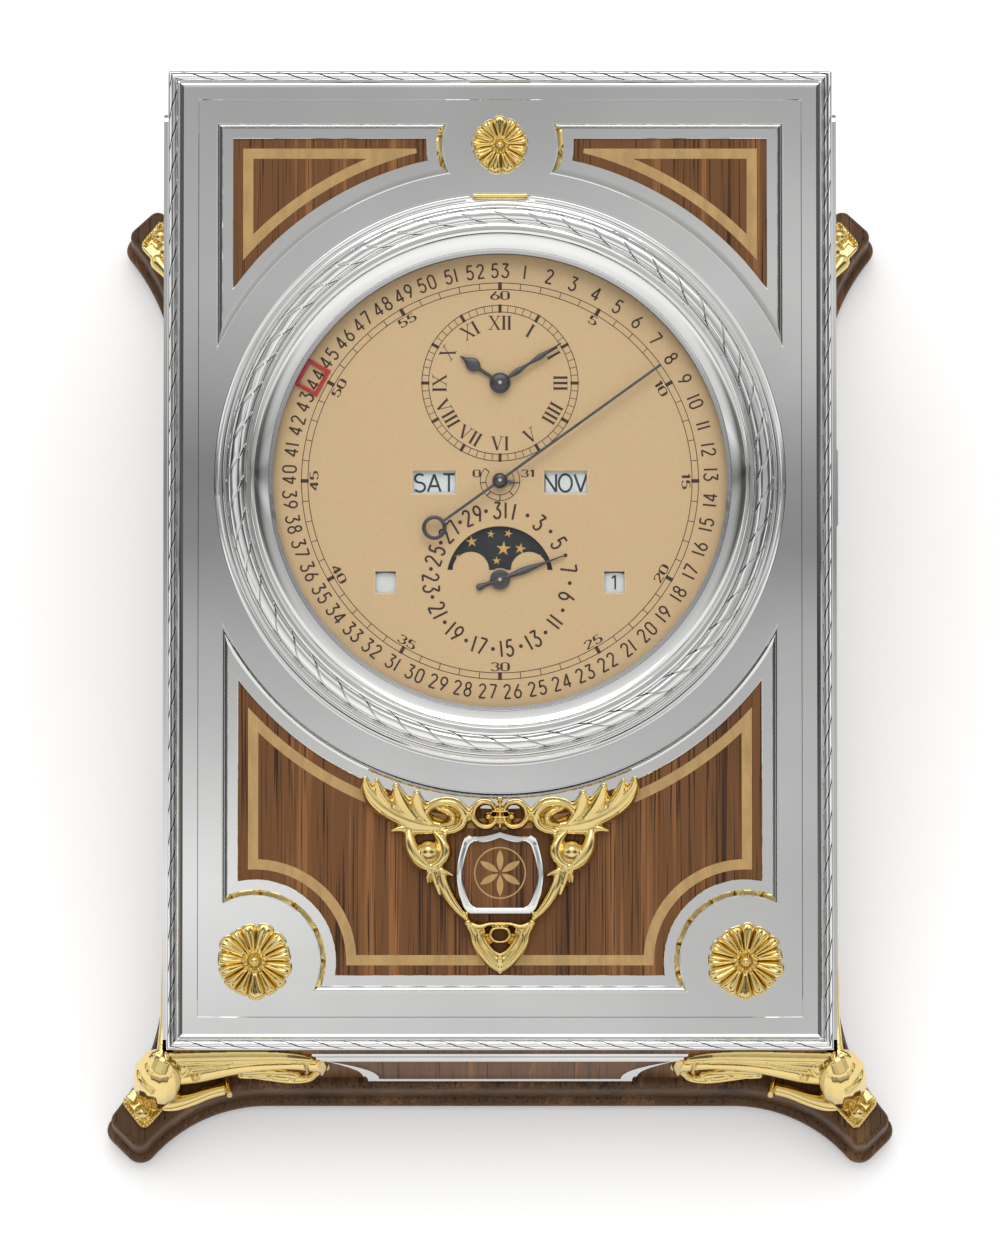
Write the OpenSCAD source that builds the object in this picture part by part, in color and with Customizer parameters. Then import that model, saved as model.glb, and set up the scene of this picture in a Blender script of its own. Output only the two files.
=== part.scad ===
// Desk clock with a sloping dial face, a walnut case on four splayed feet, silver frames and gilt mounts.
// Frame: Z up, front of the clock towards -Y, origin at the middle of the footprint on the table.
// The face has a frame of its own: x to the right, y up the slope, z out of the face.

/* [Case] */
// Width over the rope moulding of the face
face_w = 104.4; // [103:0.2:106]
// Length of the sloping face
face_len = 153.8; // [152:0.2:155]
// Slope of the face to the table, in degrees
face_slope = 19.2; // [18:0.1:20]
// Height of the middle of the face over the table
face_z = 50; // [49.5:0.05:50.5]
// Thickness of the face plate
plate_t = 2.2; // [2:0.1:2.6]
// Thickness of the case walls
wall_t = 4; // [3:0.25:5]

/* [Base] */
// Top of the wooden base board
base_z = 9; // [8:0.25:10]
// Width of the base board between its feet
base_w = 108; // [107:0.5:109]
// Depth of the base board between its feet
base_d = 145.6; // [145:0.2:146.5]
// Sideways place of the outer corner of a foot's blunt end
foot_x = 59.9; // [59:0.1:61]
// Fore and aft place of the other corner of a foot's blunt end
foot_y = 79.7; // [79:0.1:80.5]
// How far each of the two corners stands back from the other
foot_back = 2.8; // [2.4:0.1:3.2]
// Rounding of the two corners
foot_r = 2.6; // [2.2:0.1:3]
// Thickness of the felt pads
pad_t = 0.8; // [0.6:0.1:1]

/* [Dial] */
// How far the dial's centre lies up the slope from the middle of the face
dial_y = 12.35; // [12:0.05:12.7]
// Radius of the visible dial
dial_r = 35.6; // [35:0.1:36]
// Distance of the hour and minute arbor above the dial's centre
hours_up = 15.4; // [15:0.1:16]
// Distance of the date and moon arbor below the dial's centre
date_down = 15.5; // [15:0.1:16]
// Length of the minute hand
minute_len = 11.4; // [11:0.1:12]
// Length of the hour hand
hour_len = 7.5; // [7:0.1:8]
// Length of the centre seconds hand
seconds_len = 31; // [30:0.1:32]

/* [Bezel] */
// Outer radius of the hinged bezel
bezel_r = 44.9; // [44.6:0.1:45]
// Height of the bezel's top over the face
bezel_h = 5.2; // [5:0.1:5.6]
// Slanted leaves round the bezel's rope
bezel_leaves = 50; // [44:1:60]
// Width of one slanted leaf of the face's rope moulding
leaf_pitch = 5.0; // [4.6:0.1:5.4]

/* [Push piece] */
// Length of the push piece in the right side
push_len = 13.3; // [12:0.1:14]
// Travel of the push piece
push_travel = 0.8; // [0.6:0.1:1]

/* [Hidden] */

silver = "silver";
walnut = "saddlebrown";
gilt = "goldenrod";
maple = "tan";
steel = "dimgray";
$fn = 64;

case_w = 102.4;
front_y = -70.2;
rear_y = 73;
face_y = 1.875;
rope_w = 1.9;
fillet_w = 0.6;
level_z = 0.8;
rosette_up = 65.1;
corner_x = 38.4;
corner_y = -63;

// Places one thing in the face's own frame
module on_face() {
    translate([0, face_y, face_z]) rotate([face_slope, 0, 0]) children();
}

// Places one thing in the frame of the dial's centre
module on_dial() {
    on_face() translate([0, dial_y, 0]) children();
}

// Draws one thing and its mirror image across the middle of the clock
module both_sides() {
    children();
    mirror([1, 0, 0]) children();
}

// Height over the table of a plane below the face, at a place fore or aft
function under_face(y, drop) = face_z + (y - face_y) * tan(face_slope) - drop / cos(face_slope);

// Points along an arc from one angle to another
function arc(c, r, a1, a2, n) = [for (i = [0:n]) let (a = a1 + (a2 - a1) * i / n) c + r * [cos(a), sin(a)]];

function reversed(p) = [for (i = [len(p) - 1:-1:0]) p[i]];
function mirrored(p) = [for (i = [len(p) - 1:-1:0]) [-p[i][0], p[i][1]]];

// A closed solid between outlines that have the same number of points, each at its own height
module loft(rings) {
    n = len(rings[0]);
    m = len(rings);
    points = [for (ring = rings) each ring];
    sides = [for (k = [0:m - 2]) for (i = [0:n - 1]) for (t = [0, 1])
        let (j = (i + 1) % n)
        t == 0 ? [k * n + i, (k + 1) * n + i, (k + 1) * n + j] : [k * n + i, (k + 1) * n + j, k * n + j]];
    bottom = [for (i = [0:n - 1]) i];
    top = [for (i = [n - 1:-1:0]) (m - 1) * n + i];
    polyhedron(points, concat([bottom, top], sides), convexity = 10);
}

function at_height(p, z) = [for (q = p) [q[0], q[1], z]];

// Base board: a straight edge runs into each round foot tip along a hollow curve
arc_n = 7;
tip_n = 5;
front_run = 37;
side_run = 52;
function run_r(along, out) = (along * along + out * out - foot_r * foot_r) / (2 * (out + foot_r));
function foot_outline(inset) =
    let (
        low = [foot_x - foot_back, -foot_y],
        out = [foot_x, -foot_y + foot_back],
        fr = run_r(low[0] - front_run, -low[1] - base_d / 2),
        sr = run_r(-out[1] - side_run, out[0] - base_w / 2),
        fc = [front_run, -base_d / 2 - fr],
        sc = [base_w / 2 + sr, -side_run],
        fa = atan2(low[1] - fc[1], low[0] - fc[0]),
        sa = atan2(out[1] - sc[1], out[0] - sc[0])
    )
    concat(
        arc(fc, fr + inset, 90, fa, arc_n),
        arc(low, foot_r - inset, fa + 180 + (135 - fa) / tip_n, 315, tip_n - 1),
        arc(out, foot_r - inset, 315, 540 + sa - (225 + sa) / tip_n, tip_n - 1),
        reversed(arc(sc, sr + inset, 180, 360 + sa, arc_n))
    );
function front_half(inset) = concat(mirrored(foot_outline(inset)), foot_outline(inset));
function base_outline(inset) = concat(front_half(inset), [for (p = front_half(inset)) -p]);

// Moulded edge, from the table up: each course ends at a height and stands back by an inset
base_courses = [
    [1.2, 1.2], [1.7, 0.5], [3.0, 0], [3.5, 0.4], [4.0, 1.2], [base_z - 1, 0.9], [base_z - 0.5, 1.2], [base_z, 1.8]
];
module base_plinth() {
    color(walnut) difference() {
        for (i = [0:len(base_courses) - 1]) {
            low = i == 0 ? pad_t : base_courses[i - 1][0];
            translate([0, 0, low]) linear_extrude(base_courses[i][0] - low)
                polygon(base_outline(base_courses[i][1]));
        }
        translate([-46, -66, -1]) cube([92, 134, 20]);
        translate([-49, -69, -1]) cube([98, 140, 1 + pad_t + 1.8]);
        cover_points() cylinder(r = screw_r + 0.02, h = 5);
    }
}

pad_x = 56.6;
pad_y = 75.8;
module felt_pads() {
    color("darkgreen") for (x = [-pad_x, pad_x], y = [-pad_y, pad_y])
        translate([x, y, 0]) cylinder(r = 3, h = pad_t);
}

cover_z = pad_t + 0.3;
screw_r = 0.8;
module cover_points() {
    for (x = [-47.5, 47.5], y = [-60, 0, 62]) translate([x, y, cover_z]) children();
}

module bottom_cover() {
    color(steel) difference() {
        translate([-48.8, -68.8, cover_z]) cube([97.6, 139.6, 1.5]);
        cover_points() translate([0, 0, -1]) cylinder(r = screw_r + 0.02, h = 4);
        on_face() for (x = [-barrel_x, barrel_x]) translate([x, barrel_y, -50]) cylinder(r = 4, h = 20);
    }
}

module cover_screws() {
    color(silver) cover_points() {
        translate([0, 0, -0.6]) difference() {
            cylinder(r = 1.3, h = 0.6);
            translate([-2, -0.2, -1]) cube([4, 0.4, 1.3]);
        }
        cylinder(r = screw_r, h = 4.5);
    }
}

// The wedge of the case, smaller all round by an inset
module wedge(inset, drop) {
    translate([-case_w / 2 + inset, 0, 0]) rotate([90, 0, 90]) linear_extrude(case_w - 2 * inset)
        polygon([
            [front_y + inset, base_z - drop], [rear_y - inset, base_z - drop],
            [rear_y - inset, under_face(rear_y - inset, plate_t - drop)],
            [front_y + inset, under_face(front_y + inset, plate_t - drop)]
        ]);
}

push_x = case_w / 2;
push_up = 11.5;
push_drop = 6.4;
pin_guide_r = 0.8;
module at_push() {
    on_face() translate([push_x, push_up, -push_drop]) children();
}

module case_shell() {
    color(walnut) difference() {
        wedge(0, 0);
        wedge(wall_t, 3);
        at_push() translate([-wall_t - 1, -push_len / 2 - 0.1, -1.6]) cube([wall_t + 2, push_len + 0.2, 3.2]);
    }
}

// Front cartouche: a shallow plate whose ends are hollow curves
cart_top = 29.5;
cart_low = 21.5;
cart_h = 12.0;
cart_z = (base_z + under_face(front_y, plate_t)) / 2;
function cartouche(inset) =
    let (
        h = cart_h / 2 - inset,
        end = [for (i = [0:8])
            let (t = i / 8, z = -h + 2 * h * t)
            [cart_low - inset * 1.6 + (cart_top - cart_low) * pow(t, 2.2), z]]
    )
    concat(end, mirrored(end));

module at_front() {
    translate([0, front_y, cart_z]) rotate([90, 0, 0]) children();
}

module front_cartouche() {
    color(silver) at_front() difference() {
        union() {
            linear_extrude(0.6) polygon(cartouche(0));
            linear_extrude(1.0) polygon(cartouche(0.4));
        }
        translate([0, 0, -1]) linear_extrude(4) polygon(cartouche(1.5));
    }
}

module front_inlay() {
    color(walnut) at_front() linear_extrude(0.6) polygon(cartouche(1.5));
}

// A side frame follows the wedge of the case; its outline is drawn fore and aft against height
side_front = front_y + 1.2;
side_rear = rear_y - 1.2;
side_low = base_z + 0.3;
side_gap = 0.3;
function side_outline(inset, round_r) =
    let (
        low = side_low + inset,
        a = side_front + inset,
        b = side_rear - inset,
        drop = plate_t + side_gap + inset,
        za = under_face(a, drop),
        zb = under_face(b, drop),
        up = [for (i = [0:6])
            let (t = 90 * i / 6)
            [b - round_r + round_r * cos(t), zb - 1.35 * round_r + round_r * (1.0 * sin(t))]]
    )
    concat([[a, low], [b, low]], up, [[a, za]]);

module side_sheet(inset, thick, round_r) {
    translate([case_w / 2, 0, 0]) rotate([90, 0, 90]) linear_extrude(thick)
        polygon(side_outline(inset, round_r));
}

side_proud = 1.8;
module side_frame() {
    difference() {
        union() {
            side_sheet(0, 1.1, 3);
            side_sheet(0.8, side_proud, 2.6);
        }
        translate([-1, 0, 0]) side_sheet(5.2, 4, 1.6);
        at_push() translate([-1, -push_len / 2 - 0.1, -1.6]) cube([4, push_len + 0.2, 3.2]);
    }
}

module left_frame() {
    color(silver) mirror([1, 0, 0]) difference() {
        union() {
            side_sheet(0, 1.1, 3);
            side_sheet(0.8, side_proud, 2.6);
        }
        translate([-1, 0, 0]) side_sheet(5.2, 4, 1.6);
    }
}

module left_panel() {
    color(walnut) mirror([1, 0, 0]) side_sheet(5.2, 0.9, 1.6);
}

module right_frame() {
    color(silver) side_frame();
}

module right_panel() {
    color(walnut) difference() {
        side_sheet(5.2, 0.9, 1.6);
        at_push() translate([-1, -push_len / 2 - 0.1, -1.6]) cube([4, push_len + 0.2, 3.2]);
    }
}

// The rear wall carries a silver frame round a plain walnut panel
rear_top = under_face(rear_y, plate_t) - 1.5;
rear_proud = 0.9;
module rear_sheet(inset, thick) {
    translate([0, rear_y + thick, 0]) rotate([90, 0, 0]) linear_extrude(thick) polygon([
        [-case_w / 2 + 2 + inset, side_low + inset], [case_w / 2 - 2 - inset, side_low + inset],
        [case_w / 2 - 2 - inset, rear_top - inset], [-case_w / 2 + 2 + inset, rear_top - inset]
    ]);
}

module rear_frame() {
    color(silver) difference() {
        union() {
            rear_sheet(0, 0.5);
            rear_sheet(0.7, rear_proud);
        }
        translate([0, -1, 0]) rear_sheet(5, 4);
    }
}

module rear_panel() {
    color(walnut) rear_sheet(5, 0.4);
}

// A smooth curve through places set by hand; a place may carry a width and a thickness too
function curve_at(a, b, c, d, t) = 0.5 * (2 * b + (c - a) * t + (2 * a - 5 * b + 4 * c - d) * t * t
    + (3 * b - a - 3 * c + d) * t * t * t);
function curve(p, n) = concat(
    [for (i = [0:len(p) - 2], j = [0:n - 1])
        curve_at(p[max(i - 1, 0)], p[i], p[i + 1], p[min(i + 2, len(p) - 1)], j / n)],
    [p[len(p) - 1]]
);

// A flat leaf or scroll with round ends; each place gives x, y and width
module frond(p, grow, thick) {
    s = curve(p, 3);
    m = len(s) - 1;
    way = [for (i = [0:m]) let (d = s[min(i + 1, m)] - s[max(i - 1, 0)]) atan2(d[1], d[0])];
    function edge(i, a) = [s[i][0], s[i][1]] + grow * s[i][2] / 2 * [cos(way[i] + a), sin(way[i] + a)];
    linear_extrude(thick) polygon(concat(
        [for (i = [0:m]) edge(i, 90)], [edge(m, 30), edge(m, -30)],
        [for (i = [m:-1:0]) edge(i, -90)], [edge(0, -150), edge(0, -210)]
    ));
}

// A closed solid swept along a path in space; each place gives x, y, z, the width across and the thickness
function unit(v) = v / norm(v);
function spot(q) = [q[0], q[1], q[2]];
function sweep_rings(path, n) = [for (i = [0:len(path) - 1])
    let (
        t = unit(spot(path[min(i + 1, len(path) - 1)]) - spot(path[max(i - 1, 0)])),
        s = unit(cross([0, 0, 1], t)),
        u = cross(t, s)
    )
    [for (k = [0:n - 1])
        spot(path[i]) + s * path[i][3] / 2 * cos(360 * k / n) + u * path[i][4] / 2 * sin(360 * k / n)]];

// Gilt corner mount, drawn for the front right corner: shoe, knee, arms along the walls and on the board

shoe = [[59.9, -74.5], [56.3, -79.3], [53, -75.5], [56.6, -70.7]];
shoe_mid = (shoe[0] + shoe[1] + shoe[2] + shoe[3]) / 4;
module shoe_plate(grow, thick) {
    linear_extrude(thick) polygon([for (i = [0:3], t = [0, 0.5, 1])
        let (a = shoe[i] * 0.78 + shoe[(i + 3) % 4] * 0.22, b = shoe[i] * 0.78 + shoe[(i + 1) % 4] * 0.22,
            q = (a * (1 - t) + shoe[i] * t) * (1 - t) + (shoe[i] * (1 - t) + b * t) * t)
        shoe_mid + (q - shoe_mid) * grow]);
}

// The knee stands on the shoe and leans on the case's corner: x, y, z, width across, thickness
knee = [
    [56.7, -75.2, 9.4, 4.6, 2.2], [56.9, -75.5, 11.2, 5.4, 3.0], [56.6, -75.1, 13.4, 6.0, 4.0],
    [55.9, -74.2, 16.2, 6.2, 4.6], [54.9, -73.0, 19.2, 5.6, 4.2], [53.9, -72.2, 21.4, 4.2, 2.8]
];
corner_rod = [52.9, -72.0];
corner_rod_r = 2.4;
corner_rod_top = 21.6;

// Arms on the front wall: x, height over the table, width
front_arms = [
    [[52.0, 12.6, 4.4], [48.5, 13.4, 4.8], [44.5, 15.0, 4.6], [40.8, 16.9, 4.0], [37.0, 18.5, 3.2],
        [33.5, 18.9, 2.8], [30.5, 18.0, 3.0], [28.6, 16.6, 3.2]],
    [[52.0, 18.2, 6.4], [46.0, 19.0, 5.6], [41.0, 19.9, 4.2], [36.5, 20.6, 2.8], [31.5, 20.3, 1.6]]
];
front_leaf = [
    [[40.2, 13.4, 1.2], [36.8, 13.0, 1.6], [33.4, 11.8, 1.8], [30.4, 12.0, 1.6], [29.0, 14.6, 1.6]],
    [[38.6, 13.4, 1.0], [37.0, 15.2, 1.2], [34.8, 15.0, 1.2], [33.0, 13.2, 1.2], [32.6, 12.2, 1.0]]
];

// Arms on the side wall: place fore and aft, height over the table, width
side_arms = [
    [[-71.5, 12.6, 4.4], [-67.5, 13.4, 4.8], [-63.5, 15.0, 4.4], [-59.8, 16.8, 3.8], [-56.0, 18.2, 3.0],
        [-52.0, 18.6, 2.6], [-48.8, 17.6, 2.8], [-46.8, 16.2, 3.0]],
    [[-71.5, 18.0, 5.4], [-65.0, 18.4, 5.2], [-60.0, 19.4, 3.8], [-54.0, 20.2, 2.0], [-49.4, 19.2, 1.2]]
];

// Arms on the board: x, y, width
board_arms = [
    [[55.6, -74.6, 2.2], [52.6, -74.6, 1.9], [49.4, -73.9, 1.7], [46.0, -72.7, 1.6], [43.2, -71.9, 1.7]],
    [[57.6, -72.4, 2.2], [56.0, -68.4, 1.9], [55.0, -64.4, 1.7], [54.4, -60.6, 1.6], [54.2, -58.0, 1.7]]
];

// One cast mount; its wall stands at wall_y and the knee leans back as far as that wall needs
module corner_mount(wall_y) {
    back = wall_y - front_y;
    last = len(knee) - 1;
    difference() {
        union() {
            translate([0, 0, base_z]) {
                shoe_plate(1, 0.8);
                shoe_plate(0.72, 1.2);
                for (a = board_arms) frond(a, 1, 1);
            }
            loft(sweep_rings(curve([for (i = [0:last]) knee[i] + [0, back * i / last, 0, 0, 0]], 2), 12));
            translate([corner_rod[0], corner_rod[1] + back, base_z])
                cylinder(r = corner_rod_r, h = corner_rod_top - base_z);
            translate([0, wall_y, 0]) rotate([90, 0, 0]) {
                frond(front_arms[0], 1, 1.3);
                frond(front_arms[0], 0.5, 1.7);
                frond(front_arms[1], 1, 1);
                for (a = front_leaf) frond(a, 1, 0.9);
            }
            translate([case_w / 2 + side_proud, back, 0]) rotate([90, 0, 90]) {
                frond(side_arms[0], 1, 1.2);
                frond(side_arms[0], 0.5, 1.6);
                frond(side_arms[1], 1, 0.9);
            }
        }
        translate([0, -100, -1]) cube([100, 200, base_z + 1]);
        translate([-case_w / 2, wall_y, base_z - 1]) cube([case_w, 60, 60]);
        translate([0, wall_y, base_z - 1]) cube([case_w / 2 + side_proud, 60, 60]);
    }
}

module front_right_mount() {
    color(gilt) corner_mount(front_y);
}

module front_left_mount() {
    color(gilt) mirror([1, 0, 0]) corner_mount(front_y);
}

module rear_right_mount() {
    color(gilt) mirror([0, 1, 0]) corner_mount(-rear_y - rear_proud);
}

module rear_left_mount() {
    color(gilt) mirror([1, 0, 0]) mirror([0, 1, 0]) corner_mount(-rear_y - rear_proud);
}

// Upper panel of the face, right hand one: side, top, bite round the rosette, hollow round the dial
panel_side = 41.9;
panel_top = 66.1;
round_dial = 51.6;
round_rosette = 11.6;
function upper_outline(t) =
    let (
        rd = round_dial + t,
        rr = round_rosette + t,
        x = panel_side - t,
        y = panel_top - t,
        apart = rosette_up - dial_y,
        h = (apart * apart + rd * rd - rr * rr) / (2 * apart),
        c = [sqrt(rd * rd - h * h), h],
        a0 = atan2(sqrt(rd * rd - x * x), x),
        b1 = atan2(dial_y + h - rosette_up, c[0]),
        b0 = asin((y - rosette_up) / rr),
        a1 = b1 < b0 ? atan2(c[1], c[0]) : asin((y - dial_y) / rd)
    )
    reversed(concat(
        arc([0, dial_y], rd, a0, a1, 16),
        b1 < b0 ? arc([0, rosette_up], rr, b1 + (b0 - b1) / 5, b0, 4) : [],
        [[x, y]]
    ));

// Lower panel of the face: two sides, the bottom, bites round the rosettes, hollow below the dial
low_side = 41;
low_bottom = -65.2;
round_corner = 12.8;
function lower_half(t) =
    let (
        rd = round_dial + t,
        rc = round_corner + t,
        x = low_side - t,
        y = low_bottom + t,
        a0 = -90,
        a1 = -atan2(sqrt(rd * rd - x * x), x),
        b0 = acos((x - corner_x) / rc),
        b1 = 180 - asin((y - corner_y) / rc)
    )
    concat(
        arc([0, dial_y], rd, a0, a1, 16),
        arc([corner_x, corner_y], rc, b0, b1, 7)
    );
function lower_outline(t) =
    reversed(concat(lower_half(t), [for (p = reversed(lower_half(t))) if (p[0] > 0.01) [-p[0], p[1]]]));

bevel_top = -1.4;
bevel_foot = -2.6;
bevel_steps = 4;
module panel_rise(upper) {
    for (i = [0:bevel_steps - 1]) {
        t = bevel_foot + (bevel_top - bevel_foot) * (i + 0.5) / bevel_steps;
        z = level_z * i / bevel_steps - (i == 0 ? 0.1 : 0);
        translate([0, 0, z]) linear_extrude(level_z * (i + 1) / bevel_steps - z)
            polygon(upper ? upper_outline(t) : lower_outline(t));
    }
}

module ring(r1, r2, z1, z2) {
    rotate_extrude($fn = 120) translate([r1, z1]) square([r2 - r1, z2 - z1]);
}

plate_w = face_w - 2 * rope_w;
plate_len = face_len - 2 * rope_w;
module face_plate() {
    color(silver) on_face() difference() {
        union() {
            translate([-plate_w / 2, -plate_len / 2, -plate_t]) cube([plate_w, plate_len, plate_t]);
            difference() {
                translate([-plate_w / 2, -plate_len / 2, -0.1]) cube([plate_w, plate_len, 0.7]);
                translate([-plate_w / 2 + fillet_w, -plate_len / 2 + fillet_w, -1])
                    cube([plate_w - 2 * fillet_w, plate_len - 2 * fillet_w, 3]);
            }
            difference() {
                translate([-47.4, -71.8, -0.1]) cube([94.8, 144.2, 0.35]);
                translate([-46.9, -71.3, -1]) cube([93.8, 143.2, 3]);
            }
            both_sides() panel_rise(true);
            panel_rise(false);
        }
        translate([0, dial_y, -4]) cylinder(r = 37.4, h = 10);
        both_sides() translate([0, 0, inlay_z]) linear_extrude(4) polygon(upper_outline(0));
        translate([0, 0, inlay_z]) linear_extrude(4) polygon(lower_outline(0));
    }
}

inlay_z = 0.2;
string_z = 0.5;
string_in = 1.55;
string_w = 1.6;
module string_band(kind, z1, z2) {
    translate([0, 0, z1]) linear_extrude(z2 - z1) difference() {
        polygon(kind == "upper" ? upper_outline(string_in) : lower_outline(string_in));
        polygon(kind == "upper" ? upper_outline(string_in + string_w) : lower_outline(string_in + string_w));
    }
}

module inlay(kind) {
    difference() {
        translate([0, 0, inlay_z]) linear_extrude(level_z - inlay_z)
            polygon(kind == "upper" ? upper_outline(0) : lower_outline(0));
        string_band(kind, string_z, 2);
    }
}

module upper_right_inlay() {
    color(walnut) on_face() inlay("upper");
}

module upper_left_inlay() {
    color(walnut) on_face() mirror([1, 0, 0]) inlay("upper");
}

module lower_inlay() {
    color(walnut) on_face() inlay("lower");
}

module upper_right_string() {
    color(maple) on_face() string_band("upper", string_z, level_z);
}

module upper_left_string() {
    color(maple) on_face() mirror([1, 0, 0]) string_band("upper", string_z, level_z);
}

module lower_string() {
    color(maple) on_face() string_band("lower", string_z, level_z);
}

// Rope moulding round the face: a bead cut by slanting grooves into leaves
rope_low = -plate_t;
rope_top = 0.75;
module bead(length) {
    rotate([90, 0, 90]) translate([0, 0, -length / 2]) linear_extrude(length) polygon([
        [0, rope_low], [rope_w, rope_low], [rope_w, rope_top - 0.25], [rope_w - 0.3, rope_top + 0.1],
        [rope_w - 0.6, rope_top + 0.3], [0.6, rope_top + 0.3], [0.3, rope_top + 0.1], [0, rope_top - 0.25]
    ]);
}

module rope_run(length, slant) {
    count = round((length - 4) / leaf_pitch);
    difference() {
        bead(length);
        for (i = [0:count]) translate([(i - count / 2) * (length - 4) / count, rope_w / 2, rope_top + 0.55])
            rotate([0, 0, slant]) rotate([45, 0, 0]) translate([-3, -0.45, -0.45]) cube([6, 0.9, 0.9]);
    }
}

module rope_frame() {
    side = face_w / 2;
    end = face_len / 2;
    color(silver) on_face() {
        for (s = [0, 180]) rotate([0, 0, s]) translate([0, -end, 0]) rope_run(face_w, 40);
        for (s = [90, 270]) rotate([0, 0, s]) translate([0, -side, 0]) rope_run(face_len, -40);
    }
}

// Rosette: tapered petals round a knob
module rosette(r) {
    petals = 16;
    cylinder(r = r * 0.86, h = 0.7);
    for (i = [0:petals - 1]) rotate([0, 0, 360 * i / petals]) {
        translate([r * 0.3, 0, 0.7]) rotate([0, 90, 0]) cylinder(r1 = 0.05 * r, r2 = 0.13 * r, h = r * 0.57);
        translate([r * 0.87, 0, 0.7]) sphere(r = 0.13 * r);
    }
    for (i = [0:petals / 2 - 1]) rotate([0, 0, 360 * (i + 0.5) / petals * 2])
        translate([r * 0.38, 0, 1.0]) sphere(r = 0.14 * r);
    translate([0, 0, 1.1]) sphere(r = 0.24 * r);
}

module seated_rosette(x, y, z, r) {
    color(gilt) on_face() translate([x, y, z]) intersection() {
        rosette(r);
        cylinder(r = r * 2, h = 10);
    }
}

module top_rosette() {
    seated_rosette(0, rosette_up, 0, 4.7);
}

module left_rosette() {
    seated_rosette(-corner_x, corner_y, 0, 6.3);
}

module right_rosette() {
    seated_rosette(corner_x, corner_y, 0, 6.3);
}

// Shield: ogee peak, bulging sides, narrow foot
shield_y = -49.2;
shield_seat = 0.5;
function shield(inset) =
    let (
        s = [for (i = [0:10])
            let (t = i / 10, low_corner = 0.5 * pow(max(0, 1 - 14 * t), 2))
            [
                5.15 + 1.45 * sin(180 * pow(t, 0.9)) + 0.3 * t - inset - low_corner,
                -6.4 + 12.3 * t + inset * (1 - 2 * t)
            ]],
        top = [for (i = [1:5])
            let (t = i / 6)
            [s[10][0] * (1 - t), s[10][1] - 0.45 * sin(180 * pow(t, 0.8)) + 0.65 * pow(t, 1.6)]]
    )
    concat(s, top, [[0, s[10][1] + 0.65]], mirrored(concat(s, top)));

module at_shield() {
    on_face() translate([0, shield_y, 0]) children();
}

module shield_frame() {
    color(silver) at_shield() difference() {
        union() {
            translate([0, 0, level_z + shield_seat]) linear_extrude(1.3) polygon(shield(0));
            translate([0, 0, level_z + shield_seat]) linear_extrude(1.5) polygon(shield(0.25));
        }
        translate([0, 0, level_z + shield_seat + 0.4]) linear_extrude(3) polygon(shield(1.04));
    }
}

module shield_inlay() {
    color(walnut) at_shield() translate([0, 0, level_z + shield_seat + 0.4]) linear_extrude(0.4)
        polygon(shield(1.04));
}

// Gilt acanthus mount round the shield, its right half from the middle outwards: x, y, width
leaf_fingers = [
    [[8.2, 7.1, 2.8], [11.2, 7.4, 3.2], [14.8, 8.4, 3.2], [18.4, 10.6, 2.8], [20.6, 12.8, 2.2], [21.2, 14.4, 1.6]],
    [[14.2, 8.5, 2.0], [16.9, 10.4, 2.2], [18.6, 12.4, 1.8], [19.1, 14.2, 1.4]],
    [[12.3, 8.2, 2.0], [14.5, 9.8, 2.2], [15.7, 11.5, 2.0], [15.9, 13.2, 1.5]],
    [[10.6, 7.9, 1.8], [12.4, 9.3, 2.2], [12.9, 10.8, 1.9], [12.8, 12.2, 1.5]],
    [[9.1, 6.9, 1.8], [13.0, 7.3, 2.2], [16.2, 7.9, 2.0], [18.3, 8.8, 1.0]],
    [[8.8, 6.5, 1.6], [12.6, 6.4, 2.0], [15.2, 6.3, 1.5], [16.6, 6.1, 0.8]]
];
leaf_scrolls = [
    [[11.7, 8.2, 1.4], [11.9, 9.8, 1.7], [10.6, 10.9, 1.9], [8.2, 11.0, 2.0], [6.1, 10.2, 2.0], [5.3, 8.7, 1.9],
        [5.7, 7.1, 1.8], [7.0, 6.1, 1.6], [8.9, 5.9, 1.3]],
    [[1.0, 9.0, 1.0], [1.2, 10.1, 1.2], [2.4, 10.7, 1.4], [3.9, 10.0, 1.6], [4.6, 8.8, 1.6], [4.0, 7.3, 1.5],
        [2.5, 6.7, 1.4], [1.0, 7.4, 1.2]],
    [[14.5, 6.3, 1.5], [14.6, 5.1, 1.7], [14.4, 3.7, 2.0], [13.3, 1.9, 2.1], [11.4, 0.8, 2.1], [9.2, 1.1, 2.0],
        [7.9, 2.8, 1.9], [8.4, 4.5, 1.7], [9.5, 5.6, 1.6]]
];
leaf_stems = [
    [[11.4, -0.1, 1.2], [10.0, 0.0, 1.3], [8.7, -0.4, 1.2]],
    [[11.0, -0.4, 1.5], [10.5, -1.5, 1.6], [9.6, -2.8, 1.3], [9.4, -3.6, 0.8]],
    [[8.7, -0.4, 1.5], [8.4, -2.3, 1.6], [7.5, -4.4, 1.5], [5.5, -6.4, 1.2]],
    [[5.3, -6.4, 1.1], [4.8, -7.7, 1.6], [3.8, -8.3, 1.4], [2.7, -8.2, 1.2], [1.1, -7.9, 1.1], [-0.4, -8.2, 1.0]],
    [[4.6, -8.2, 1.4], [3.9, -9.6, 1.6], [3.3, -11.1, 1.5], [2.0, -12.8, 1.4], [0.6, -14.6, 1.5]],
    [[0.4, -8.6, 1.0], [1.6, -9.2, 1.2], [1.7, -10.6, 1.2], [0.9, -11.8, 1.1], [-0.3, -12.9, 1.1]]
];
leaf_balls = [[10.7, 2.7, 1.2], [2.1, 8.4, 1.0], [4.9, -7.7, 0.9]];
leaf_t = 1.0;
leaf_rib = 0.7;
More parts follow.
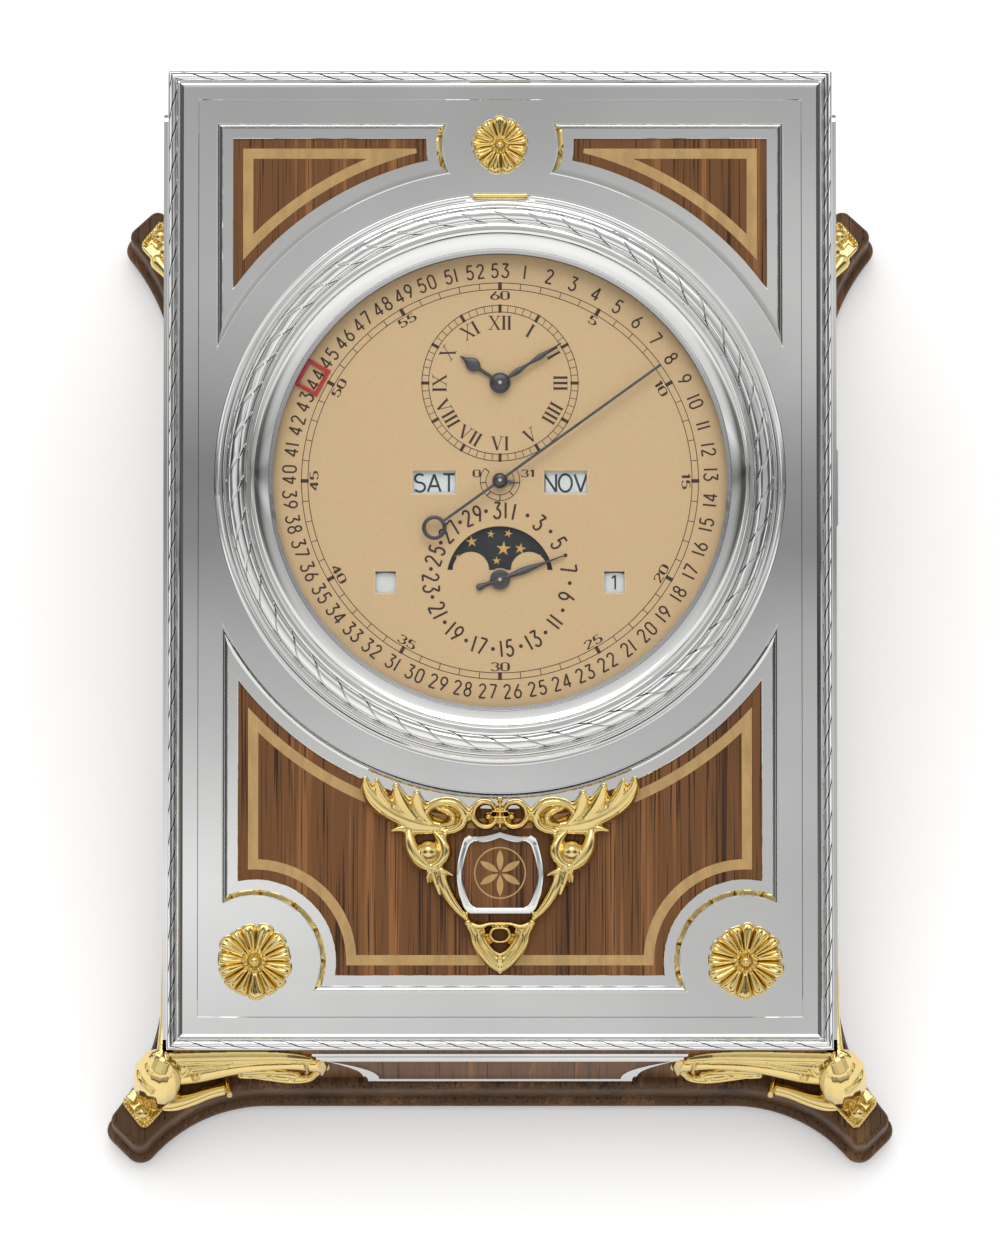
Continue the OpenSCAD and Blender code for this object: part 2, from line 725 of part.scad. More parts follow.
module acanthus_half() {
    for (p = concat(leaf_fingers, leaf_scrolls, leaf_stems)) frond(p, 1, leaf_t);
    for (p = concat(leaf_fingers, leaf_scrolls)) frond(p, 0.5, leaf_t + leaf_rib);
    for (b = leaf_balls) translate([b[0], b[1], 0]) cylinder(r = b[2], h = leaf_t + leaf_rib + 0.3, $fn = 24);
}

module acanthus_mount() {
    color(gilt) at_shield() translate([0, 0, level_z]) {
        difference() {
            union() {
                both_sides() acanthus_half();
                frond([[0, 6.9, 1.2], [0, 8.4, 1.4], [0, 9.8, 1.2]], 1, leaf_t + leaf_rib);
                frond([[0, -13.4, 1.6], [0, -14.4, 1.6], [0, -15.3, 1.2]], 1, leaf_t + leaf_rib);
                linear_extrude(shield_seat) polygon(shield(-0.15));
            }
            translate([0, 0, shield_seat]) linear_extrude(4) polygon(shield(-0.05));
        }
    }
}

// Hinged bezel: hollow band, steps, rope and fine fillets; a notch at twelve o'clock clears the hinge
hinge_r = 44.6;
hinge_z = 2.5;
knuckle_r = 0.95;
pin_r = 0.4;
bezel_low = 0.9;
lip_z = 1.5;
glass_r = 36.2;
rope_r = 41.35;
bead_r = 1.22;
module bezel_body() {
    rotate_extrude($fn = 144) polygon(concat(
        [[dial_r, bezel_low], [dial_r, lip_z], [glass_r + 0.05, lip_z], [glass_r + 0.05, lip_z + 0.9]],
        [for (i = [0:5]) let (t = i / 5) [36.6 + 2.0 * t, lip_z + 1.0 + t * t]],
        [[38.8, 4.0], [39.1, 4.1], [39.15, 4.5], [39.7, 4.5], [39.85, 4.1]],
        [for (a = [180:-20:0]) [rope_r + bead_r * cos(a), bezel_h - 1.2 + 1.2 * sin(a)]],
        [[42.7, 4.3], [43.1, 4.3], [43.25, 3.7], [43.8, 3.75], [43.95, 3.15], [44.4, 3.1], [bezel_r, 2.7],
            [bezel_r, bezel_low], [38.4, bezel_low], [38.4, 2.3], [37.2, 1.5], [37.2, bezel_low]]
    ));
}

module bezel() {
    color(silver) on_dial() {
        difference() {
            bezel_body();
            for (i = [0:bezel_leaves - 1]) rotate([0, 0, 360 * i / bezel_leaves])
                translate([rope_r, 0, bezel_h + 0.25])
                    rotate([0, 0, -40]) rotate([0, 45, 0]) translate([-0.35, -1.6, -0.35]) cube([0.7, 3.2, 0.7]);
            translate([-5.4, hinge_r - 1.1, 0]) cube([10.8, 5, 8]);
        }
        difference() {
            union() {
                translate([-1.8, hinge_r, hinge_z]) rotate([0, 90, 0]) cylinder(r = knuckle_r, h = 3.6);
                translate([-1.8, hinge_r - 1.6, hinge_z - 0.7]) cube([3.6, 1.6, 1.4]);
            }
            translate([-9, hinge_r, hinge_z]) rotate([0, 90, 0]) cylinder(r = pin_r + 0.04, h = 18);
        }
    }
}

module bezel_crystal() {
    color([0.8, 0.9, 0.95, 0.4]) on_dial() rotate_extrude($fn = 120) polygon(concat(
        [[0, lip_z], [glass_r, lip_z]],
        [for (i = [0:6]) let (t = 1 - i / 6) [glass_r * t, lip_z + 0.9 + 0.8 * (1 - t * t)]]
    ));
}

module hinge_pin() {
    color(silver) on_dial() translate([-4.2, hinge_r, hinge_z]) rotate([0, 90, 0]) cylinder(r = pin_r, h = 8.4);
}

// Dial flange: holds the dial in the face plate and carries the fixed hinge knuckles
module dial_flange() {
    color(silver) on_dial() {
        ring(36.2, 37.4, -plate_t, 0.6);
        difference() {
            union() {
                both_sides() translate([2.0, hinge_r, hinge_z]) rotate([0, 90, 0]) cylinder(r = knuckle_r, h = 2.4);
                both_sides() translate([2.0, hinge_r - 0.6, 0]) cube([2.4, 1.2, hinge_z]);
                translate([-4.4, 37, 0]) cube([8.8, hinge_r - 36.4, 0.4]);
            }
            translate([-9, hinge_r, hinge_z]) rotate([0, 90, 0]) cylinder(r = pin_r, h = 18);
        }
    }
}

// Dial: a plate with windows; arbors pass through it
dial_top = -1.2;
dial_t = 0.8;
window_x = 10.3;
window_w = 7.1;
window_h = 3.9;
small_x = 17.95;
small_y = -15.9;
small_w = 3.5;
small_h = 3.7;
moon_r = 8.4;
module dial() {
    color("tan") on_dial() difference() {
        translate([0, 0, dial_top - dial_t]) cylinder(r = 36.18, h = dial_t);
        translate([0, 0, -5]) {
            cylinder(r = 1.0, h = 10);
            translate([0, hours_up, 0]) cylinder(r = 1.3, h = 10);
            translate([0, -date_down, 0]) cylinder(r = 1.3, h = 10);
        }
        for (x = [-window_x, window_x]) translate([x - window_w / 2, -0.2 - window_h / 2, -5])
            cube([window_w, window_h, 10]);
        for (x = [-small_x, small_x]) translate([x - small_w / 2, small_y - small_h / 2, -5])
            cube([small_w, small_h, 10]);
        translate([0, -date_down, -5]) linear_extrude(10) difference() {
            intersection() {
                circle(r = moon_r);
                translate([-10, 1.5]) square([20, 10]);
            }
            for (x = [-4.57, 4.57]) translate([x, 1.5]) circle(r = 2.85);
            circle(r = 1.8);
        }
    }
}

// A hand is a flat blade over a hub; its edge is given as distance from the hub's middle and half width
module blade(edge, hub, z, thick) {
    side = curve(edge, 2);
    translate([0, 0, z]) linear_extrude(thick)
        polygon(concat([for (q = side) [q[1], q[0]]], [for (q = reversed(side)) [-q[1], q[0]]]));
    translate([0, 0, z]) cylinder(r = hub, h = thick);
}

hand_z = dial_top + 0.35;
minute_arbor_r = 0.66;
seconds_arbor_r = 0.4;
reserve_pipe_r = 0.9;
date_arbor_r = 0.6;
wheel_x = 6;
hour_module = 0.24;
minute_module = 0.25;
gear_t = 0.45;
hour_gear_z = -4.1;
minute_gear_z = -4.9;
arbor_low = -7.4;
module hour_hand() {
    color(steel) on_dial() translate([0, hours_up, 0]) rotate([0, 0, 56]) difference() {
        union() {
            blade(concat([[0, 0.25], [3.8, 0.25], [4.4, 0.85], [5.2, 1.05], [5.9, 0.8], [6.6, 0.3]],
                [[hour_len, 0.08]]), 1.6, hand_z, 0.3);
            translate([0, 0, hour_gear_z - 0.15]) cylinder(r = 1.24, h = hand_z - hour_gear_z + 0.15);
            rotate([0, 0, -56]) translate([0, 0, hour_gear_z]) gear(40, hour_module, gear_t, 0.5);
        }
        translate([0, 0, -6]) cylinder(r = minute_arbor_r + 0.06, h = 8);
    }
}

module minute_hand() {
    color(steel) on_dial() translate([0, hours_up, 0]) {
        rotate([0, 0, -57])
            blade(concat([[0, 0.2], [1.6, 0.2], [3.6, 0.4], [5.4, 0.18], [7.6, 0.42], [9.6, 0.16]],
                [[minute_len, 0.08]]), 1.3, hand_z + 0.5, 0.3);
        translate([0, 0, arbor_low]) cylinder(r = minute_arbor_r, h = hand_z + 0.5 - arbor_low);
        translate([0, 0, minute_gear_z]) gear(12, minute_module, gear_t, 0);
    }
}

ring_down = 12.7;
module seconds_hand() {
    color(steel) on_dial() rotate([0, 0, -54.2]) {
        translate([0, 0, hand_z + 1.0]) difference() {
            union() {
                translate([-0.2, -ring_down, 0]) cube([0.4, seconds_len + ring_down, 0.25]);
                cylinder(r = 1.1, h = 0.4);
                translate([0, -ring_down, 0]) cylinder(r = 1.9, h = 0.25);
            }
            translate([0, -ring_down, -1]) cylinder(r = 1.35, h = 3);
        }
        translate([0, 0, arbor_low]) cylinder(r = seconds_arbor_r, h = hand_z + 1.2 - arbor_low);
    }
}

module reserve_hand() {
    color(steel) on_dial() difference() {
        union() {
            rotate([0, 0, -98]) blade([[-0.6, 0.2], [1, 0.25], [2, 0.16], [2.6, 0.08]], 1.2, hand_z, 0.3);
            translate([0, 0, arbor_low]) cylinder(r = reserve_pipe_r, h = hand_z - arbor_low);
        }
        translate([0, 0, arbor_low - 1]) cylinder(r = seconds_arbor_r + 0.06, h = 10);
    }
}

date_len = 10.9;
module date_hand() {
    color(steel) on_dial() translate([0, -date_down, 0]) {
        rotate([0, 0, -69.6]) {
            blade(concat([[-3.9, 0.3], [-3.4, 0.5], [-2.9, 0.35], [-2, 0.2], [0, 0.3], [2.6, 0.3], [4.4, 0.36]],
                [[6.4, 0.28], [8.2, 0.14], [date_len, 0.07]]), 1.55, hand_z, 0.3);
        }
        translate([0, 0, arbor_low]) cylinder(r = date_arbor_r, h = hand_z + 0.2 - arbor_low);
    }
}

disc_z = dial_top - dial_t - 0.55;
disc_t = 0.4;
module disc(x, y, r, bore) {
    on_dial() translate([x, y, 0]) difference() {
        union() {
            translate([0, 0, disc_z]) cylinder(r = r, h = disc_t, $fn = 96);
            translate([0, 0, move_top + 0.02]) cylinder(r = bore + 0.8, h = disc_z + disc_t - move_top - 0.02);
        }
        translate([0, 0, move_top - 1]) cylinder(r = bore, h = 6);
    }
}

module moon_disc() {
    color("midnightblue") disc(0, -date_down, 9, date_arbor_r + 0.06);
}

post_r = 0.7;
day_x = 20.85;
leap_y = -21;
module day_disc() {
    color("whitesmoke") disc(-day_x, 0, 14.1, post_r + 0.06);
}

module month_disc() {
    color("whitesmoke") disc(day_x, 0, 14.1, post_r + 0.06);
}

module day_night_disc() {
    color("whitesmoke") disc(-small_x, leap_y, 6.6, post_r + 0.06);
}

module leap_disc() {
    color("whitesmoke") disc(small_x, leap_y, 6.6, post_r + 0.06);
}

// Week ring: runs on the dial's edge and carries the small frame round the week number
week_angle = 298.9;
week_r = 33.6;
module week_ring() {
    color("crimson") on_dial() {
        ring(35.65, 36.1, dial_top + 0.1, dial_top + 0.4);
        rotate([0, 0, -week_angle]) translate([0, 0, dial_top + 0.1]) linear_extrude(0.3) difference() {
            translate([-2.3, week_r - 1.95]) square([4.6, 4.1]);
            translate([-1.7, week_r - 1.4]) square([3.4, 2.8]);
        }
    }
}

module push_piece() {
    h = 1.5;
    color(silver) at_push() {
        difference() {
            translate([-2.2, -push_len / 2, -h]) cube([2.2 + 2.1, push_len, 2 * h]);
            for (s = [-1, 1]) translate([2.1, s * push_len / 2, 0]) rotate([0, 0, 45])
                cube([1.1, 1.1, 8], center = true);
        }
        translate([-6.8, 0, 0]) rotate([0, 90, 0]) cylinder(r = pin_guide_r, h = 4.8);
    }
}

spring_turns = 5;
spring_r = 1.2;
wire_r = 0.17;
spring_gap = 3.4;
module push_spring() {
    steps = 12 * spring_turns;
    color(silver) at_push() translate([-2.2 - wire_r - 0.02, 0, 0]) rotate([0, -90, 0]) loft([for (i = [0:steps])
        let (a = 360 * spring_turns * i / steps, z = (spring_gap - 2 * wire_r - 0.04) * i / steps)
        [for (k = [0:5]) [
            (spring_r + wire_r * cos(60 * k)) * cos(a), (spring_r + wire_r * cos(60 * k)) * sin(a),
            z + wire_r * sin(-60 * k)
        ]]]);
}

// Bracket on the case wall: guides the push piece's pin and backs its spring
module push_bracket() {
    color(silver) at_push() difference() {
        union() {
            translate([-2.2 - spring_gap - 0.8, -5, -3]) cube([0.8, 10, 6]);
            for (y = [-5, 4.2]) translate([-2.2 - spring_gap, y, -3]) cube([spring_gap + 2.2 - wall_t, 0.8, 6]);
        }
        translate([-10, 0, 0]) rotate([0, 90, 0]) cylinder(r = pin_guide_r + 0.05, h = 6);
    }
}

// Movement: two plates on pillars hold the barrels; posts on the front plate carry the discs
move_w = 86;
move_len = 126;
move_top = -6;
move_t = 1.4;
back_z = -20;
module movement_slab(z, t) {
    translate([-move_w / 2, -move_len / 2, z]) cube([move_w, move_len, t]);
}

module plate_corners() {
    for (x = [-39, 39], y = [-60.4, 60.4]) translate([x, y, 0]) children();
}

module movement_plate() {
    color("gainsboro") on_face() difference() {
        union() {
            movement_slab(move_top - move_t, move_t);
            plate_corners() translate([0, 0, move_top - 0.1]) cylinder(r = 2.4, h = -plate_t - move_top + 0.1);
            translate([0, dial_y, move_top - 0.1]) {
                for (x = [-day_x, day_x]) translate([x, 0, 0]) cylinder(r = post_r, h = disc_z - move_top);
                for (x = [-small_x, small_x]) translate([x, leap_y, 0]) cylinder(r = post_r, h = disc_z - move_top);
                translate([wheel_x, hours_up, 0]) cylinder(r = stud_r, h = 2.6);
            }
        }
        translate([0, dial_y, -30]) {
            cylinder(r = reserve_pipe_r + 0.06, h = 40);
            translate([0, hours_up, 0]) cylinder(r = minute_arbor_r + 0.06, h = 40);
            translate([0, -date_down, 0]) cylinder(r = date_arbor_r + 0.06, h = 40);
        }
        for (x = [-barrel_x, barrel_x]) translate([x, barrel_y, -30]) cylinder(r = barrel_arbor_r + 0.06, h = 40);
    }
}

// A toothed disc; the shift turns it by a share of one tooth
module gear(teeth, modulus, thick, shift) {
    pitch = teeth * modulus / 2;
    step = 360 / teeth;
    tooth = [[-0.34, -1.15], [-0.13, 0.8], [0.13, 0.8], [0.34, -1.15]];
    linear_extrude(thick) polygon([for (i = [0:teeth - 1], p = tooth)
        let (r = pitch + p[1] * modulus, a = step * (i + shift + p[0]))
        r * [cos(a), sin(a)]]);
}

module back_plate() {
    color("gainsboro") on_face() difference() {
        movement_slab(back_z - move_t, move_t);
        for (x = [-barrel_x, barrel_x]) translate([x, barrel_y, -30]) cylinder(r = barrel_arbor_r + 0.06, h = 40);
    }
}

module pillars() {
    color("gold") on_face() plate_corners()
        translate([0, 0, back_z]) cylinder(r = 2.2, h = move_top - move_t - back_z);
}

// Two mainspring barrels in mesh; each arbor ends in a square for the key under the back plate
barrel_x = 19.5;
barrel_y = -40;
barrel_arbor_r = 2;
barrel_teeth = 78;
barrel_low = back_z + 0.6;
barrel_high = move_top - move_t - 0.6;
module barrel(shift) {
    translate([0, 0, barrel_low]) gear(barrel_teeth, 2 * barrel_x / barrel_teeth, 1.6, shift);
    translate([0, 0, barrel_low]) cylinder(r = 18.2, h = barrel_high - barrel_low);
    translate([0, 0, back_z - move_t - 0.2]) cylinder(r = barrel_arbor_r, h = move_top - back_z + move_t);
    translate([-1.2, -1.2, back_z - move_t - 3.4]) cube([2.4, 2.4, 3.4]);
}

module left_barrel() {
    color("gold") on_face() translate([-barrel_x, barrel_y, 0]) barrel(0);
}

module right_barrel() {
    color("gold") on_face() translate([barrel_x, barrel_y, 0]) barrel(0.5);
}

// Motion work: the minute wheel meets the pinion on the minute arbor, and its own pinion the hour wheel
stud_r = 0.5;
module minute_wheel() {
    color("gold") on_dial() translate([wheel_x, hours_up, 0]) difference() {
        union() {
            translate([0, 0, minute_gear_z]) gear(36, minute_module, gear_t, 0.5);
            translate([0, 0, minute_gear_z]) gear(10, hour_module, hour_gear_z + gear_t - minute_gear_z, 0);
        }
        translate([0, 0, move_top]) cylinder(r = stud_r + 0.06, h = 5);
    }
}

module plate_screws() {
    color(silver) on_face() plate_corners() translate([0, 0, back_z - move_t - 0.6]) cylinder(r = 2, h = 0.6);
}

base_plinth();
felt_pads();
bottom_cover();
cover_screws();
case_shell();
front_cartouche();
front_inlay();
left_frame();
left_panel();
right_frame();
right_panel();
rear_frame();
rear_panel();
front_left_mount();
front_right_mount();
rear_left_mount();
rear_right_mount();
face_plate();
rope_frame();
upper_left_inlay();
upper_right_inlay();
lower_inlay();
upper_left_string();
upper_right_string();
lower_string();
top_rosette();
left_rosette();
right_rosette();
acanthus_mount();
shield_frame();
shield_inlay();
bezel();
bezel_crystal();
hinge_pin();
dial_flange();
dial();
hour_hand();
minute_hand();
seconds_hand();
reserve_hand();
date_hand();
moon_disc();
day_disc();
month_disc();
day_night_disc();
leap_disc();
week_ring();
push_piece();
push_spring();
push_bracket();
movement_plate();
back_plate();
pillars();
left_barrel();
right_barrel();
minute_wheel();
plate_screws();
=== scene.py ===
# Desk clock with a sloping dial face: finishes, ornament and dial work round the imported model
import math
import random
import bmesh
import bpy
from mathutils import Matrix, Vector


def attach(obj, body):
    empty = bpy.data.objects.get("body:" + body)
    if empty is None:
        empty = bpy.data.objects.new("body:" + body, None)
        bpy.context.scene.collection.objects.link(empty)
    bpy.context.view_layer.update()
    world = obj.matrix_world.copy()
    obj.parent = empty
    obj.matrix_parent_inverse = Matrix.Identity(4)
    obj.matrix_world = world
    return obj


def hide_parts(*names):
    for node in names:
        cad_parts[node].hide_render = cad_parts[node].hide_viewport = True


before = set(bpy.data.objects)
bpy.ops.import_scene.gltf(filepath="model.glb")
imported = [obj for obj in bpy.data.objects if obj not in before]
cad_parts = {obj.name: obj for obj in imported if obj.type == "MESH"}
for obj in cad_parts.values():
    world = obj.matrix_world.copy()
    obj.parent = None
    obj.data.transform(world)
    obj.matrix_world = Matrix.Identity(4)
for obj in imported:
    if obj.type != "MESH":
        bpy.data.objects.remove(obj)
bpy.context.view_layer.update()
scene = bpy.context.scene
mm = 0.001

# The face has its own frame: x right, y up the slope, z out of the face, all in millimetres
face = {"slope": 19.2, "midY": 1.875, "midZ": 50, "dialUp": 12.35}
inMm = Matrix.Scale(mm, 4)
onFace = (
    Matrix.Translation((0, face["midY"] * mm, face["midZ"] * mm))
    @ Matrix.Rotation(math.radians(face["slope"]), 4, "X")
    @ inMm
)
onDial = onFace @ Matrix.Translation((0, face["dialUp"], 0))
print("frame loaded:", len(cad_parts), "nodes")


# Small helpers for node trees
def addNode(tree, kind, values=None, **settings):
    node = tree.nodes.new(kind)
    for key, value in settings.items():
        setattr(node, key, value)
    for key, value in (values or {}).items():
        if isinstance(value, bpy.types.NodeSocket):
            tree.links.new(value, node.inputs[key])
        else:
            node.inputs[key].default_value = value
    return node


def addRamp(tree, factor, stops):
    node = addNode(tree, "ShaderNodeValToRGB", {"Fac": factor})
    ramp = node.color_ramp
    while len(ramp.elements) < len(stops):
        ramp.elements.new(0.5)
    for element, (place, colour) in zip(ramp.elements, stops):
        element.position = place
        element.color = (*colour, 1)
    return node.outputs["Color"]


def addMath(tree, operation, *values):
    return addNode(tree, "ShaderNodeMath", dict(enumerate(values)), operation=operation).outputs[0]


def mapRange(tree, value, fromMin, fromMax, toMin, toMax, kind="LINEAR"):
    return addNode(tree, "ShaderNodeMapRange", {
        "Value": value, "From Min": fromMin, "From Max": fromMax, "To Min": toMin, "To Max": toMax,
    }, interpolation_type=kind).outputs[0]


def mixColours(tree, factor, first, second, blend="MIX"):
    values = {0: factor, 6: first, 7: second}
    return addNode(tree, "ShaderNodeMix", values, data_type="RGBA", blend_type=blend).outputs[2]


def fromScreen(colour):
    # a colour as the eye reads it, 0 to 255, turned into the linear values that shaders use
    scaled = [v / 255 for v in colour]
    return tuple(c / 12.92 if c <= 0.04045 else ((c + 0.055) / 1.055) ** 2.4 for c in scaled)


def newMaterial(name, settings):
    material = bpy.data.materials.new(name)
    material.use_nodes = True
    tree = material.node_tree
    tree.nodes.clear()
    shader = addNode(tree, "ShaderNodeBsdfPrincipled", settings)
    addNode(tree, "ShaderNodeOutputMaterial", {"Surface": shader.outputs[0]})
    return material, tree, shader


def setSocket(tree, shader, name, socket):
    tree.links.new(socket, shader.inputs[name])


def bump(tree, shader, height, strength, distance):
    node = addNode(tree, "ShaderNodeBump", {"Height": height, "Strength": strength, "Distance": distance})
    setSocket(tree, shader, "Normal", node.outputs[0])


def placeNoise(tree, scale, detail=4, stretch=(1, 1, 1), rough=0.55, twist=0.0, tilt=0.0):
    # stretch draws the pattern out along an axis, after a tilt that lets it follow the sloping face
    coords = addNode(tree, "ShaderNodeTexCoord")
    mapped = addNode(tree, "ShaderNodeMapping", {
        "Vector": coords.outputs["Object"], "Rotation": (math.radians(tilt), 0, 0),
        "Scale": [1 / s for s in stretch],
    }, vector_type="TEXTURE")
    return addNode(tree, "ShaderNodeTexNoise", {
        "Vector": mapped.outputs[0], "Scale": scale, "Detail": detail, "Roughness": rough,
        "Distortion": twist,
    }).outputs[0]


# Metals: a clean colour, a faint unevenness of polish and a very slight handmade ripple; the gilt also gets
# painted shade in its hollows
metals = {
    "silver": {"colour": (240, 240, 239), "rough": (0.02, 0.05), "ripple": 0.05, "grain": 260},
    # the gilt's darker second colour is painted shade for its hollows
    "gilt": {
        "colour": (234, 208, 138), "hollowShade": (112, 92, 46), "rough": (0.08, 0.17), "ripple": 0.16,
        "grain": 420,
    },
    "plated": {"colour": (214, 212, 206), "rough": (0.18, 0.3), "ripple": 0.12, "grain": 700},
    "steel": {"colour": (120, 120, 124), "rough": (0.28, 0.42), "ripple": 0.15, "grain": 900},
    "brass": {"colour": (226, 190, 112), "rough": (0.2, 0.32), "ripple": 0.12, "grain": 700},
    "hands": {"colour": (90, 90, 92), "rough": (0.3, 0.42), "ripple": 0.08, "grain": 1500},
}
metalLook = {"dull": 0.93, "toneScale": 0.15, "hollow": (0.4, 0.49), "rippleDeep": 0.00002}


def makeMetal(name):
    spec = metals[name]
    material, tree, shader = newMaterial(name + "Metal", {"Metallic": 1.0})
    polish = placeNoise(tree, spec["grain"], 3)
    setSocket(tree, shader, "Roughness", mapRange(tree, polish, 0, 1, *spec["rough"]))
    tone = placeNoise(tree, spec["grain"] * metalLook["toneScale"], 2)
    clean = fromScreen(spec["colour"])
    dull = tuple(c * metalLook["dull"] for c in clean)
    colour = addRamp(tree, tone, [(0.35, dull), (0.65, clean)])
    if "hollowShade" in spec:
        # painted shade: hollows found by pointiness are darkened to a deep gold, as if shadow lay in them
        hollow = addNode(tree, "ShaderNodeNewGeometry").outputs["Pointiness"]
        hollowShadeMask = mapRange(tree, hollow, *metalLook["hollow"], 0, 1)
        colour = mixColours(tree, hollowShadeMask, (*fromScreen(spec["hollowShade"]), 1), colour)
    setSocket(tree, shader, "Base Color", colour)
    bump(tree, shader, placeNoise(tree, spec["grain"], 2), spec["ripple"], metalLook["rippleDeep"])
    return material


silver, gilt, plated, steel, brass, handSteel = (makeMetal(name) for name in metals)


# Walnut: long streaks along the grain, darker bands and fine open pores under a thin varnish
walnutLook = {
    "dark": (62, 43, 29), "mid": (106, 72, 44), "warm": (138, 94, 58), "pore": (36, 24, 18), "bands": 150,
    "streaks": 1100, "pores": 3200, "slow": 0.012, "gloss": (0.3, 0.5), "relief": (0.25, 0.00008),
    "bandPart": 0.55, "streakPart": 0.45, "stops": (0.37, 0.45, 0.54, 0.6), "poreDeep": 0.85,
    "poreStops": (0.33, 0.44),
    "varnish": {"Coat Weight": 0.03, "Coat Roughness": 0.25, "Specular IOR Level": 0.13},
}


def makeWalnut(name, grainAxis, shift=0.0, tilt=0.0, shade=(1, 1, 1)):
    look = dict(walnutLook)
    for tone in ("dark", "mid", "warm", "pore"):
        look[tone] = tuple(c * s for c, s in zip(fromScreen(look[tone]), shade))
    material, tree, shader = newMaterial(name, look["varnish"])
    stretch = [1, 1, 1]
    stretch[grainAxis] = look["slow"]
    bands = placeNoise(tree, look["bands"] + shift, 3, stretch, 0.5, 0.4, tilt)
    streaks = placeNoise(tree, look["streaks"] + shift, 4, stretch, 0.6, 0.2, tilt)
    pores = placeNoise(tree, look["pores"] + shift, 2, stretch, 0.5, 0.0, tilt)
    broad = addMath(tree, "MULTIPLY", bands, look["bandPart"])
    fine = addMath(tree, "MULTIPLY_ADD", streaks, look["streakPart"], broad)
    wood = addRamp(tree, fine,
                   list(zip(look["stops"], (look[tone] for tone in ("dark", "mid", "mid", "warm")))))
    poreMask = addRamp(tree, pores, list(zip(look["poreStops"], ((look["poreDeep"],) * 3, (0, 0, 0)))))
    setSocket(tree, shader, "Base Color", mixColours(tree, poreMask, wood, (*look["pore"], 1)))
    setSocket(tree, shader, "Roughness", mapRange(tree, streaks, 0, 1, *look["gloss"]))
    bump(tree, shader, fine, *look["relief"])
    return material


# The grain runs fore and aft in the base board, up the sloping face, and up the case walls
walnutAlong = makeWalnut("walnutAlong", 1, shade=(0.62, 0.72, 0.85))
walnutSlope = makeWalnut("walnutSlope", 1, 3.0, face["slope"], (1.12, 1.1, 1.05))
walnutUpright = makeWalnut("walnutUpright", 2, 7.0)


# Painted, printed and soft finishes: a colour with a small variation, a roughness and a fine surface
finishes = {
    "maple": {
        "colour": (178, 143, 88), "vary": 0.12, "scale": 700, "rough": 0.42, "coat": 0.2,
        "stretch": (1, 0.06, 1),
    },
    "dialPaint": {"colour": (207, 177, 133), "vary": 0.03, "scale": 2500, "rough": 0.5, "coat": 0.05},
    "windowEdge": {"colour": (226, 203, 168), "vary": 0.03, "scale": 2500, "rough": 0.35, "coat": 0.1},
    "printInk": {"colour": (56, 38, 22), "vary": 0.08, "scale": 3000, "rough": 0.5, "coat": 0.0},
    "discPaint": {"colour": (214, 222, 222), "vary": 0.03, "scale": 1800, "rough": 0.45, "coat": 0.05},
    "discPrint": {"colour": (48, 58, 66), "vary": 0.08, "scale": 3000, "rough": 0.5, "coat": 0.0},
    "nightPaint": {"colour": (34, 38, 40), "vary": 0.1, "scale": 1500, "rough": 0.35, "coat": 0.2},
    "starGold": {"colour": (206, 166, 98), "vary": 0.05, "scale": 2000, "rough": 0.35, "coat": 0.1},
    "redEnamel": {"colour": (184, 40, 42), "vary": 0.05, "scale": 1500, "rough": 0.3, "coat": 0.4},
    "felt": {"colour": (44, 62, 48), "vary": 0.35, "scale": 2600, "rough": 0.95, "coat": 0.0},
}


def makeFinish(name):
    spec = finishes[name]
    rough, colour = spec["rough"], fromScreen(spec["colour"])
    material, tree, shader = newMaterial(name, {"Coat Weight": spec["coat"], "Coat Roughness": 0.15})
    grain = placeNoise(tree, spec["scale"], 4, spec.get("stretch", (1, 1, 1)))
    low = tuple(c * (1 - spec["vary"]) for c in colour)
    high = tuple(min(1, c * (1 + spec["vary"])) for c in colour)
    setSocket(tree, shader, "Base Color", addRamp(tree, grain, [(0.35, low), (0.65, high)]))
    setSocket(tree, shader, "Roughness", mapRange(tree, grain, 0, 1, rough - 0.04, rough + 0.04))
    bump(tree, shader, grain, 0.12, 0.00002)
    return material


maple, dialPaint, windowEdge, printInk, discPaint, discPrint, nightPaint, starGold, redEnamel, felt = (
    makeFinish(name) for name in finishes
)


crystal = {"bend": 1.12, "shine": 0.4, "dust": 300, "haze": 0.004}


def makeCrystal():
    # clear glass; light that only casts shadows passes straight through it
    material, tree, shader = newMaterial("crystalGlass", {
        "Base Color": (1, 1, 1, 1), "Transmission Weight": 1.0, "IOR": crystal["bend"],
        "Specular IOR Level": crystal["shine"],
    })
    path = addNode(tree, "ShaderNodeLightPath")
    clear = addNode(tree, "ShaderNodeBsdfTransparent")
    dust = placeNoise(tree, crystal["dust"], 3)
    setSocket(tree, shader, "Roughness", mapRange(tree, dust, 0, 1, 0, crystal["haze"]))
    mix = addNode(tree, "ShaderNodeMixShader", {
        0: path.outputs["Is Shadow Ray"], 1: shader.outputs[0], 2: clear.outputs[0],
    })
    tree.links.new(mix.outputs[0], tree.nodes["Material Output"].inputs["Surface"])
    return material


crystalGlass = makeCrystal()

